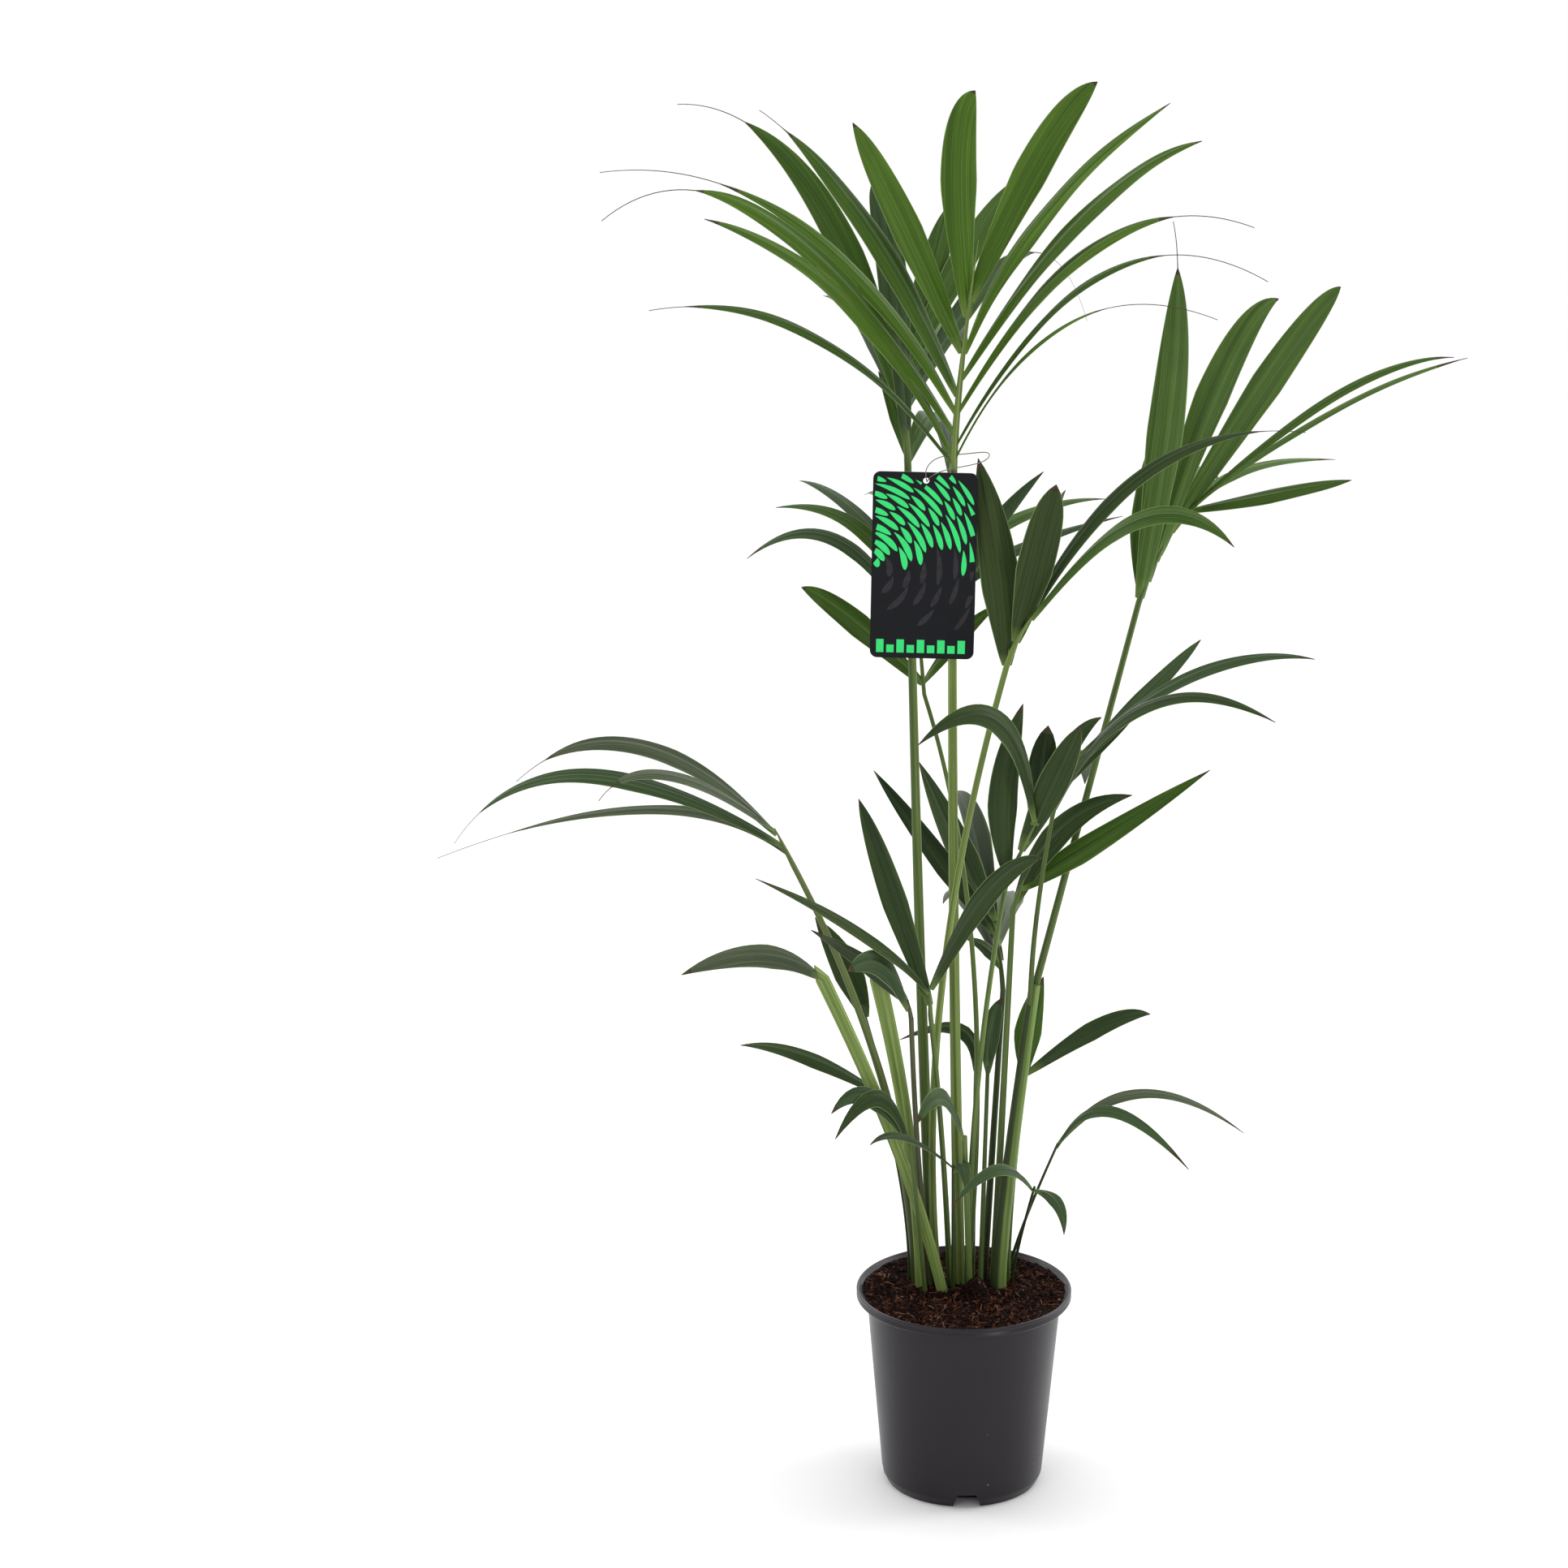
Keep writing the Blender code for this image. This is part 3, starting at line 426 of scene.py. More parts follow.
# Short leaves low in the clump, each with its own thin stalk fused to it
LOW_LEAVES = {
    "low_left_rear": dict(
        stalk=Limb((-37, 36), (-88, 9, 422), 5.0, 0.45, (5.0, 3.6)),
        leaflets=leaflets((0.96, (-43, 38, 75), 5, 0.5, 27, 0)),
    ),
    "low_left_thin": dict(
        stalk=Limb((-46, 36), (-72, 28, 340), 5.0, 0.4, (4.0, 3.0)),
        leaflets=leaflets((0.98, (-122, 60, 20), 10, 0.65, 15, 50)),
    ),
    "low_left_short": dict(
        stalk=Limb((-33, 6), (-46, -34, 321), 0.0, 0.5, (4.0, 4.0)),
        leaflets=leaflets(
            (0.97, (-65, -40, 41), 25, 0.85, 19, 35),
            (0.93, (-62, -50, 28), 40, 0.7, 18, 35),
        ),
    ),
    "low_centre_short": dict(
        stalk=Limb((5, 5), (-1, -16, 317), 0.0, 0.5, (5.5, 4.5)),
        leaflets=leaflets((0.98, (-40, -60, 35), 29, 0.85, 19, 35)),
    ),
    "low_centre_fork": dict(
        stalk=Limb((-9, 8), (-10, -9, 288), 0.0, 0.5, (3.5, 3.0)),
        leaflets=leaflets(
            (0.98, (-68, -95, 57), 14, 0.8, 10, 50),
            (0.95, (12, -30, -8), 15, 0.3, 14, 20),
        ),
    ),
    "low_right_pair": dict(
        stalk=Limb((41, 33), (58, -25, 276), 2.0, 0.3, (2.6, 2.2)),
        leaflets=leaflets(
            (0.97, (-68, -50, 5), 25, 0.4, 13, 50),
            (0.98, (25, -40, -24), 15, 0.65, 12, 30),
        ),
    ),
    "low_right_fork": dict(
        stalk=Limb((38, 50), (77, -8, 308), 3.0, 0.25, (2.8, 2.2)),
        leaflets=leaflets(
            (0.99, (159, 60, -10), 42, 0.35, 10, 40),
            (0.98, (108, -70, 10), 40, 0.35, 12, 40),
        ),
    ),
    "low_right_single": dict(
        stalk=Limb((37, 38), (51, 36, 362), 2.5, 0.45, (4.6, 3.6)),
        leaflets=leaflets((0.96, (105, 40, 40), 10, 0.8, 18, 40)),
    ),
    "low_right_rear": dict(
        stalk=Limb((33, 49), (50, 51, 354), 2.5, 0.45, (4.6, 3.6)),
        leaflets=leaflets((0.97, (15, 20, 80), 5, 0.5, 25, 0)),
    ),
    "low_centre_blade": dict(
        stalk=Limb((14, 24), (18, 41, 357), 0.0, 0.5, (4.4, 3.4)),
        leaflets=leaflets((0.97, (10, 20, 60), 5, 0.55, 16, 20, 6.0)),
    ),
    "low_centre_rear": dict(
        stalk=Limb((7, 42), (8, 59, 352), 0.0, 0.5, (4.4, 3.4)),
        leaflets=leaflets((0.97, (-65, 20, 20), 30, 0.2, 14, 40)),
    ),
}

# Bare limbs: the sheathed stem that carries the two right stalks, and an old cut stalk
BARE_LIMBS = {
    "right_stem": (Limb((29, 16), (56, 17, 440), 2.5, 0.2, (13.5, 9.5)), "sheath"),
    "cut_stalk": (Limb((-37, 14), (-74, -21, 458), 7.5, 0.45, (8.0, 14.0), 0.3), "stalk"),
}

# Which greens each frond's leaflets take in turn, and the green of its stalk
GREENS = {
    "crown_front": (("leaf_bright", "leaf_crown", "leaf_crown", "leaf_crown_deep"), "stalk_light"),
    "crown_rear": (("leaf_crown_deep", "leaf_blue", "leaf_crown_deep"), "stalk_mid"),
    "right_tall": (("leaf_soft", "leaf_crown_deep", "leaf_soft"), "stalk_mid"),
    "middle_right": (("leaf_olive", "leaf_olive", "leaf_shade", "leaf_crown_deep"), "stalk_light"),
    "label_rear": (("leaf_crown_deep", "leaf_blue"), "stalk_mid"),
    "inner_front": (("leaf_shade", "leaf_shade", "leaf_deep"), "stalk_mid"),
    "right_low": (("leaf_blue", "leaf_shade"), "stalk_mid"),
    "right_inner": (("leaf_shade", "leaf_crown_deep"), "stalk_mid"),
    "pair_front": (("leaf_shade", "leaf_shade", "leaf_olive"), "stalk_mid"),
    "left_arching": (("leaf_grey", "leaf_grey", "leaf_blue"), "stalk_olive"),
    "left_broad": (("leaf_grey",), "stalk_pale"),
    "left_pair": (("leaf_grey", "leaf_blue"), "stalk_plum"),
    "rear_fan": (("leaf_deep", "leaf_shade"), "stalk_dark"),
    "low_left_rear": (("leaf_shade",), "stalk_dark"),
    "low_left_thin": (("leaf_shade",), "stalk_dark"),
    "low_left_short": (("leaf_blue", "leaf_shade"), "stalk_mid"),
    "low_centre_short": (("leaf_blue",), "stalk_mid"),
    "low_centre_fork": (("leaf_shade", "leaf_blue"), "stalk_dark"),
    "low_right_pair": (("leaf_blue", "leaf_blue"), "stalk_dark"),
    "low_right_fork": (("leaf_grey", "leaf_blue"), "stalk_dark"),
    "low_right_single": (("leaf_shade",), "stalk_mid"),
    "low_right_rear": (("leaf_crown_deep",), "stalk_mid"),
    "low_centre_blade": (("leaf_blue",), "stalk_mid"),
    "low_centre_rear": (("leaf_shade",), "stalk_mid"),
    "right_stem": ((), "stalk_split"),
    "cut_stalk": ((), "stalk_pale"),
}

LEAF_COLORS = {
    # A lighter copy of the crown green, for painted light on the crown
    "leaf_bright": (0.062, 0.128, 0.014),
    "leaf_crown": (0.055, 0.113, 0.013),
    # A darker copy of the crown green, for painted shade on rear and inner leaflets
    "leaf_crown_deep": (0.040, 0.084, 0.012),
    "leaf_soft": (0.060, 0.112, 0.023),
    "leaf_olive": (0.030, 0.050, 0.0145),
    # This green and the next are darker copies, for painted shade on the inner, rear and low leaves
    "leaf_shade": (0.0265, 0.047, 0.0145),
    "leaf_deep": (0.017, 0.031, 0.010),
    "leaf_blue": (0.039, 0.068, 0.027),
    "leaf_grey": (0.060, 0.078, 0.044),
    "leaf_under": (0.034, 0.056, 0.021),
}
# Light and dark bands, how much the foot darkens, and how strongly painted shade darkens the left side and
# a painted highlight lightens the right
STALK_COLORS = {
    "stalk_pale": ((0.300, 0.395, 0.125), (0.140, 0.200, 0.048), 0.15, 0.3),
    "stalk_light": ((0.255, 0.330, 0.100), (0.100, 0.145, 0.030), 0.40, 0.3),
    "stalk_olive": ((0.170, 0.215, 0.070), (0.058, 0.078, 0.022), 0.95, 0.4),
    "stalk_mid": ((0.150, 0.215, 0.058), (0.054, 0.086, 0.022), 0.45, 0.4),
    "stalk_plum": ((0.110, 0.120, 0.055), (0.042, 0.036, 0.024), 0.60, 0.4),
    "stalk_dark": ((0.070, 0.098, 0.032), (0.022, 0.032, 0.013), 0.45, 0.3),
    "stalk_split": ((0.185, 0.275, 0.070), (0.036, 0.054, 0.018), 0.35, 1.0),
}
# Small plain finishes: colour, roughness, scale of the grain, spread of the tone, gloss and metal
PLAIN_FINISHES = {
    "fibre_rust": ((0.072, 0.021, 0.010), 0.7, 300.0, 0.6, 0.08),
    "fibre_tan": ((0.26, 0.13, 0.07), 0.7, 300.0, 0.4, 0.08),
    "fibre_dark": ((0.012, 0.0045, 0.003), 0.8, 300.0, 0.5, 0.06),
    "card_black": ((0.003, 0.0035, 0.006), 0.34, 90.0, 0.25, 0.16),
    "card_edge": ((0.16, 0.16, 0.16), 0.5, 400.0, 0.3, 0.5),
    "ink_green": ((0.035, 0.640, 0.165), 0.34, 260.0, 0.06, 0.16),
    "ink_grey": ((0.024, 0.022, 0.027), 0.34, 260.0, 0.4, 0.16),
    "dull_wire": ((0.20, 0.18, 0.16), 0.42, 900.0, 0.3, 0.5, 0.8),
    "hair_brown": ((0.060, 0.048, 0.022), 0.6, 300.0, 0.4, 0.1),
}


# Shader nodes


def feed(tree, socket, value):
    """Sets a socket to a value, or links it to another socket."""
    if isinstance(value, bpy.types.NodeSocket):
        tree.links.new(value, socket)
    else:
        socket.default_value = value


def place(tree, kind, inputs=(), **settings):
    """Adds a node; each input is a value to set or a socket to link."""
    node = tree.nodes.new("ShaderNode" + kind)
    for label, value in settings.items():
        setattr(node, label, value)
    for label, value in dict(inputs).items():
        feed(tree, node.inputs[label], value)
    return node


def blend_color(tree, factor, first, second, how="MIX"):
    mix = place(tree, "Mix", data_type="RGBA", blend_type=how)
    for socket, value in zip((mix.inputs[0], mix.inputs[6], mix.inputs[7]), (factor, first, second)):
        feed(tree, socket, value)
    return mix.outputs[2]


def tinted(tree, color, tint):
    """The colour times a tint."""
    return blend_color(tree, 1.0, color, opaque(tint), "MULTIPLY")


def combine(tree, operation, *values):
    node = place(tree, "Math", operation=operation)
    for socket, value in zip(node.inputs, values):
        feed(tree, socket, value)
    return node.outputs[0]


def times(tree, first, second):
    return combine(tree, "MULTIPLY", first, second)


def ramp(tree, factor, *stops):
    node = place(tree, "ValToRGB", {"Fac": factor})
    bar = node.color_ramp.elements
    while len(bar) < len(stops):
        bar.new(0.5)
    for stop, (where, level) in zip(bar, stops):
        stop.position = where
        stop.color = (level, level, level, 1.0)
    return node.outputs["Color"]


def opaque(color):
    return (*color, 1.0)


def new_group(name, inputs):
    """A group with the given inputs that puts out a colour, a height and a roughness."""
    group = bpy.data.node_groups.new(name, "ShaderNodeTree")
    for label, kind, value in inputs:
        socket = group.interface.new_socket(label, in_out="INPUT", socket_type="NodeSocket" + kind)
        socket.default_value = value
    for label, kind in (("Color", "Color"), ("Height", "Float"), ("Roughness", "Float")):
        group.interface.new_socket(label, in_out="OUTPUT", socket_type="NodeSocket" + kind)
    return group, group.nodes.new("NodeGroupInput").outputs, group.nodes.new("NodeGroupOutput").inputs


def stretched(tree, scale):
    """A place in millimetres across and along a blade or stalk, stretched by a scale."""
    places = place(tree, "UVMap", uv_map="blade")
    return place(tree, "Mapping", {"Vector": places.outputs[0], "Scale": (*scale, 1.0)}).outputs[0]


def streaks(tree, across, along, detail):
    """Noise drawn out along a blade or stalk."""
    inputs = {"Vector": stretched(tree, (across, along)), "Scale": 1.0, "Detail": detail}
    return place(tree, "TexNoise", inputs).outputs["Fac"]


def split_map(tree, layer):
    return place(tree, "SeparateXYZ", {"Vector": place(tree, "UVMap", uv_map=layer).outputs[0]}).outputs


def vein_group():
    """Lengthwise veins, broad folds of tone, a pale margin and a dark tip for a leaflet."""
    tree, given, out = new_group("leaf_veins", (
        ("Color", "Color", (0.05, 0.1, 0.02, 1.0)),
        ("Vein Strength", "Float", 0.35),
        ("Margin", "Float", 0.4),
    ))
    comb = place(tree, "TexWave", {
        "Vector": stretched(tree, (0.16, 0.0006)), "Scale": 1.0, "Distortion": 1.2, "Detail": 1.0,
    })
    cloud = streaks(tree, 0.05, 0.018, 2.0)
    shares = split_map(tree, "share")
    threads = ramp(tree, streaks(tree, 0.55, 0.004, 4.0), (0.38, 0.0), (0.62, 1.0))
    ridges = ramp(tree, comb.outputs["Fac"], (0.55, 0.0), (0.95, 1.0))
    lines = times(tree, threads, combine(tree, "MULTIPLY_ADD", ridges, 0.65, 0.35))
    folds = ramp(tree, streaks(tree, 0.15, 0.003, 1.0), (0.3, 0.0), (0.7, 1.0))
    dark = tinted(tree, given["Color"], (0.55, 0.60, 0.62))
    pale = tinted(tree, given["Color"], (1.75, 1.58, 1.50))
    color = blend_color(tree, folds, dark, given["Color"])
    color = blend_color(tree, times(tree, lines, given["Vein Strength"]), color, pale)
    shade = combine(tree, "SUBTRACT", 1.0, ramp(tree, cloud, (0.25, 0.0), (0.55, 1.0)))
    color = blend_color(tree, times(tree, shade, 0.35), color, dark)
    from_middle = combine(tree, "ABSOLUTE", combine(tree, "SUBTRACT", shares["X"], 0.5))
    margin = times(tree, ramp(tree, from_middle, (0.466, 0.0), (0.490, 1.0)), given["Margin"])
    color = blend_color(tree, margin, color, (0.22, 0.30, 0.11, 1.0))
    midrib = times(tree, ramp(tree, from_middle, (0.0, 1.0), (0.022, 0.0)), given["Margin"])
    color = blend_color(tree, times(tree, midrib, 0.55), color, pale)
    run = split_map(tree, "blade")["Y"]
    root = ramp(tree, combine(tree, "DIVIDE", run, 40.0), (0.03, 1.0), (0.30, 0.0))
    color = blend_color(tree, times(tree, root, 0.55), color, (0.15, 0.22, 0.055, 1.0))
    tip = ramp(tree, shares["Y"], (0.982, 0.0), (0.998, 1.0))
    feed(tree, out["Color"], blend_color(tree, tip, color, (0.035, 0.030, 0.012, 1.0)))
    feed(tree, out["Height"], combine(tree, "ADD", lines, folds))
    feed(tree, out["Roughness"], combine(tree, "MULTIPLY_ADD", cloud, 0.22, 0.30))
    return tree


def band_group():
    """Light and dark lengthwise bands and fine fibres for a stalk, darker and duller at its foot, with
    painted shade down its left side and a painted highlight down its right.
    """
    tree, given, out = new_group("stalk_bands", (
        ("Light", "Color", (0.2, 0.3, 0.1, 1.0)),
        ("Dark", "Color", (0.1, 0.15, 0.04, 1.0)),
        ("Foot", "Float", 0.5),
        ("Side", "Float", 0.2),
    ))
    cloud = streaks(tree, 0.1, 0.02, 4.0)
    wide = ramp(tree, streaks(tree, 0.34, 0.0022, 2.0), (0.36, 0.0), (0.62, 1.0))
    fibres = ramp(tree, streaks(tree, 2.1, 0.008, 3.0), (0.38, 0.0), (0.62, 1.0))
    color = blend_color(tree, wide, given["Dark"], given["Light"])
    round_about = split_map(tree, "share")["X"]
    # Painted shade down the stalk's left side
    left = times(tree, ramp(tree, round_about, (0.40, 1.0), (0.52, 0.0)), given["Side"])
    color = blend_color(tree, left, color, given["Dark"])
    # Painted highlight down the stalk's right side
    right = times(tree, ramp(tree, round_about, (0.52, 0.0), (0.62, 1.0)), given["Side"])
    color = blend_color(tree, times(tree, right, 0.6), color, given["Light"])
    color = blend_color(tree, fibres, tinted(tree, color, (0.60, 0.66, 0.58)), color)
    run = place(tree, "SeparateXYZ", {"Vector": stretched(tree, (1.0, 1.0))}).outputs["Y"]
    low = ramp(tree, combine(tree, "DIVIDE", run, 330.0), (0.02, 1.0), (1.0, 0.0))
    foot = tinted(tree, color, (0.42, 0.40, 0.40))
    color = blend_color(tree, times(tree, low, given["Foot"]), color, foot)
    brown = times(tree, ramp(tree, cloud, (0.60, 0.0), (0.72, 1.0)), low)
    feed(tree, out["Color"], blend_color(tree, times(tree, brown, 0.6), color, (0.07, 0.045, 0.02, 1.0)))
    feed(tree, out["Height"], combine(tree, "ADD", fibres, wide))
    feed(tree, out["Roughness"], combine(tree, "MULTIPLY_ADD", cloud, 0.2, 0.32))
    return tree


def speck_group():
    """Moulded plastic: faint clouds, specks of dust and fine scratches."""
    tree, given, out = new_group("moulded_plastic", (
        ("Color", "Color", (0.04, 0.04, 0.05, 1.0)),
        ("Dust", "Color", (0.2, 0.19, 0.18, 1.0)),
    ))
    where = place(tree, "TexCoord").outputs["Object"]
    cloud = place(tree, "TexNoise", {"Vector": where, "Scale": 14.0, "Detail": 4.0}).outputs["Fac"]
    grain = place(tree, "TexNoise", {"Vector": where, "Scale": 1400.0, "Detail": 1.0}).outputs["Fac"]
    specks = place(tree, "TexVoronoi", {"Vector": where, "Scale": 52.0}, feature="F1")
    drawn = place(tree, "Mapping", {"Vector": where, "Scale": (60.0, 60.0, 1.4)}).outputs[0]
    scratches = place(tree, "TexNoise", {"Vector": drawn, "Scale": 1.0, "Detail": 3.0}).outputs["Fac"]
    lighter = tinted(tree, given["Color"], (1.28, 1.28, 1.28))
    color = blend_color(tree, ramp(tree, cloud, (0.35, 0.0), (0.7, 1.0)), given["Color"], lighter)
    scratched = times(tree, ramp(tree, scratches, (0.5, 0.0), (0.75, 1.0)), 0.35)
    color = blend_color(tree, scratched, color, lighter)
    near = ramp(tree, specks.outputs["Distance"], (0.035, 1.0), (0.06, 0.0))
    dot = times(tree, near, ramp(tree, cloud, (0.5, 0.0), (0.62, 1.0)))
    feed(tree, out["Color"], blend_color(tree, times(tree, dot, 0.45), color, given["Dust"]))
    feed(tree, out["Height"], combine(tree, "ADD", grain, times(tree, dot, 2.0)))
    feed(tree, out["Roughness"], combine(tree, "MULTIPLY_ADD", cloud, 0.2, 0.24))
    return tree


def new_material(name, specular, metallic=0.0):
    made = bpy.data.materials.new(name)
    made.use_nodes = True
    shader = made.node_tree.nodes["Principled BSDF"]
    shader.inputs["Specular IOR Level"].default_value = specular
    shader.inputs["Metallic"].default_value = metallic
    return made, made.node_tree, shader


def emboss(tree, shader, height, strength, depth):
    """A relief of the given depth in millimetres."""
    relief = place(tree, "Bump", {"Height": height, "Strength": strength, "Distance": depth * MM})
    feed(tree, shader.inputs["Normal"], relief.outputs[0])


def surface(name, group, values, bump, depth, specular):
    """A material whose colour, roughness and relief come from one of the groups above."""
    made, tree, shader = new_material(name, specular)
    pattern = tree.nodes.new("ShaderNodeGroup")
    pattern.node_tree = group
    for label, value in values.items():
        pattern.inputs[label].default_value = value
    feed(tree, shader.inputs["Base Color"], pattern.outputs["Color"])
    feed(tree, shader.inputs["Roughness"], pattern.outputs["Roughness"])
    emboss(tree, shader, pattern.outputs["Height"], bump, depth)
    return made


def compost_finish():
    """Damp coir: near-black hollows and red-brown crumbs."""
    made, tree, shader = new_material("damp_coir", 0.06)
    where = place(tree, "TexCoord").outputs["Object"]
    coir = {"Vector": where, "Scale": 170.0, "Detail": 5.0, "Roughness": 0.65}
    lumps = place(tree, "TexNoise", coir).outputs["Fac"]
    grains = place(tree, "TexVoronoi", {"Vector": where, "Scale": 520.0}, feature="F1")
    tone = place(tree, "ValToRGB", {"Fac": lumps})
    bar = tone.color_ramp.elements
    for stop, (at, color) in zip((bar[0], bar[1], bar.new(0.55), bar.new(0.66)), (
        (0.30, (0.0015, 0.0008, 0.0006)), (0.80, (0.045, 0.015, 0.008)),
        (0.50, (0.0048, 0.0020, 0.0014)), (0.64, (0.016, 0.0055, 0.0034)),
    )):
        stop.position = at
        stop.color = opaque(color)
    feed(tree, shader.inputs["Base Color"], tone.outputs["Color"])
    feed(tree, shader.inputs["Roughness"], ramp(tree, lumps, (0.3, 0.62), (0.7, 0.95)))
    height = combine(tree, "ADD", lumps, times(tree, grains.outputs["Distance"], 0.7))
    emboss(tree, shader, height, 0.9, 1.6)
    return made


def grained_finish(name, color, roughness, scale, spread, specular, metallic=0.0):
    """A small plain piece: one colour that wanders a little, with a fine grain."""
    made, tree, shader = new_material(name, specular, metallic)
    where = place(tree, "TexCoord").outputs["Object"]
    grain = place(tree, "TexNoise", {"Vector": where, "Scale": scale, "Detail": 3.0}).outputs["Fac"]
    level = ramp(tree, grain, (0.3, 1.0 - spread), (0.7, 1.0))
    feed(tree, shader.inputs["Base Color"], blend_color(tree, 1.0, opaque(color), level, "MULTIPLY"))
    feed(tree, shader.inputs["Roughness"], ramp(tree, grain, (0.3, roughness), (0.7, roughness + 0.12)))
    emboss(tree, shader, grain, 0.25, 0.1)
    return made


def all_finishes():
    made = {"damp_coir": compost_finish()}
    veins = vein_group()
    for name, color in LEAF_COLORS.items():
        margin = 0.0 if name == "leaf_under" else 0.60
        values = {"Color": opaque(color), "Vein Strength": 0.72, "Margin": margin}
        made[name] = surface(name, veins, values, 0.35, 0.12, LEAF_GLOSS)
    bands = band_group()
    for name, (light, dark, foot, side) in STALK_COLORS.items():
        values = {"Light": opaque(light), "Dark": opaque(dark), "Foot": foot, "Side": side}
        made[name] = surface(name, bands, values, 0.4, 0.15, 0.16)
    values = {"Color": (0.0068, 0.0045, 0.0076, 1.0), "Dust": (0.16, 0.15, 0.14, 1.0)}
    made["charcoal_plastic"] = surface("charcoal_plastic", speck_group(), values, 0.12, 0.05, 0.285)
    for name, values in PLAIN_FINISHES.items():
        made[name] = grained_finish(name, *values)
    return made


FINISHES = all_finishes()


# Meshes


def new_mesh(name, points, faces, finishes):
    """A mesh from points in millimetres."""
    mesh = bpy.data.meshes.new(name)
    mesh.from_pydata([tuple(p * MM) for p in points], [], faces)
    for finish in finishes:
        mesh.materials.append(FINISHES[finish])
    return mesh


def stand(name, data):
    """An object in the scene that shows a mesh, a curve, a lamp or a camera."""
    made = bpy.data.objects.new(name, data)
    bpy.context.scene.collection.objects.link(made)
    return made


def applied(piece):
    """The mesh of an object with its modifiers or bevel worked in."""
    bpy.context.view_layer.update()
    return bpy.data.meshes.new_from_object(piece.evaluated_get(bpy.context.evaluated_depsgraph_get()))


def keep(piece, slot, *nodes):
    """Rides the piece on the plant and hides the solids that it stands for; its slot is not used."""
    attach(piece, "root")
    if nodes:
        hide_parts(*nodes)
    return piece


def around(radius, angle):
    return radius * math.cos(angle), radius * math.sin(angle)


def new_points(points, more):
    """Adds points to a list and gives back their numbers."""
    start = len(points)
    points.extend(more)
    return list(range(start, len(points)))


class Sheets:
    """Points and faces of one piece, with each face's finish and its places in the two pattern maps."""

    def __init__(self):
        self.points = []
        self.faces = []
        self.finish = []
        self.blade = []
        self.share = []

    def ring(self, points):
        return new_points(self.points, points)

    def face(self, corners, finish, blade, share):
        self.faces.append(corners)
        self.finish.append(finish)
        self.blade.extend(blade)
        self.share.extend(share)

    def quad(self, corners, places, finish, flip):
        """A face whose corners each have a (blade, share) pair of places; flip turns it over."""
        if flip:
            corners, places = corners[::-1], places[::-1]
        self.face(corners, finish, [spot[0] for spot in places], [spot[1] for spot in places])

    def build(self, name, finishes):
        mesh = new_mesh(name, self.points, self.faces, finishes)
        mesh.polygons.foreach_set("material_index", self.finish)
        for layer, values in (("blade", self.blade), ("share", self.share)):
            made = mesh.uv_layers.new(name=layer)
            made.data.foreach_set("uv", [number for pair in values for number in pair])
        mesh.validate()
        mesh.shade_smooth()
        mesh.set_sharp_from_angle(angle=math.radians(60.0))
        return stand(name, mesh)


def plain_piece(name, points, faces, finishes, indices=None, sharp=60.0):
    mesh = new_mesh(name, points, faces, finishes)
    if indices:
        mesh.polygons.foreach_set("material_index", indices)
    mesh.shade_smooth()
    mesh.set_sharp_from_angle(angle=math.radians(sharp))
    return stand(name, mesh)


def soil_height(x, y):
    share = min(1.0, math.hypot(x, y) / POT_SHOULDER_RADIUS)
    return SOIL_EDGE + (SOIL_CROWN - SOIL_EDGE) * (0.5 + 0.5 * math.cos(math.pi * share))


def up_normal(chord):
    """The direction square to a chord that points up, for an arch to rise along."""
    along = chord.normalized()
    sideways = math.copysign(1.0, chord.x)
    in_picture = Vector((-chord.z * sideways, 0.0, abs(chord.x)))
    upward = UP - along * along.z
    if in_picture.length > 0.0:
        upward += ARCH_LEAN * in_picture.normalized()
    upward -= along * upward.dot(along)
    return upward.normalized()


class Arc:
    """A curve with one bend, from a root to a tip."""

    def __init__(self, root, tip, bow, bend):
        self.root = Vector(root)
        self.tip = Vector(tip)
        chord = self.tip - self.root
        self.up = up_normal(chord)
        self.knee = self.root + chord * bend + self.up * (2.0 * bow)

    def point(self, t):
        return self.root * (1 - t) ** 2 + self.knee * (2 * t * (1 - t)) + self.tip * t**2

    def tangent(self, t):
        return ((self.knee - self.root) * (1 - t) + (self.tip - self.knee) * t).normalized()

    def facing(self, face, t):
        """Where a blade looks at t, when its middle looks along face and it bends without twisting."""
        middle = self.tangent(0.5)
        square = (face - middle * face.dot(middle)).normalized()
        return middle.rotation_difference(self.tangent(t)) @ square

    def line(self, count):
        return [self.point(i / count) for i in range(count + 1)]

    def length(self):
        steps = self.line(ARC_STEPS)
        return sum((b - a).length for a, b in zip(steps, steps[1:]))

    def stalk_points(self):
        return self.line(max(2, round(self.length() / STALK_STEP)))


def standing(limb):
    if len(limb.foot) == 3:
        return Vector(limb.foot)
    x, y = limb.foot
    return Vector((x, y, soil_height(x, y) + CLEARANCE + FOOT_LIFT * limb.widths[0]))


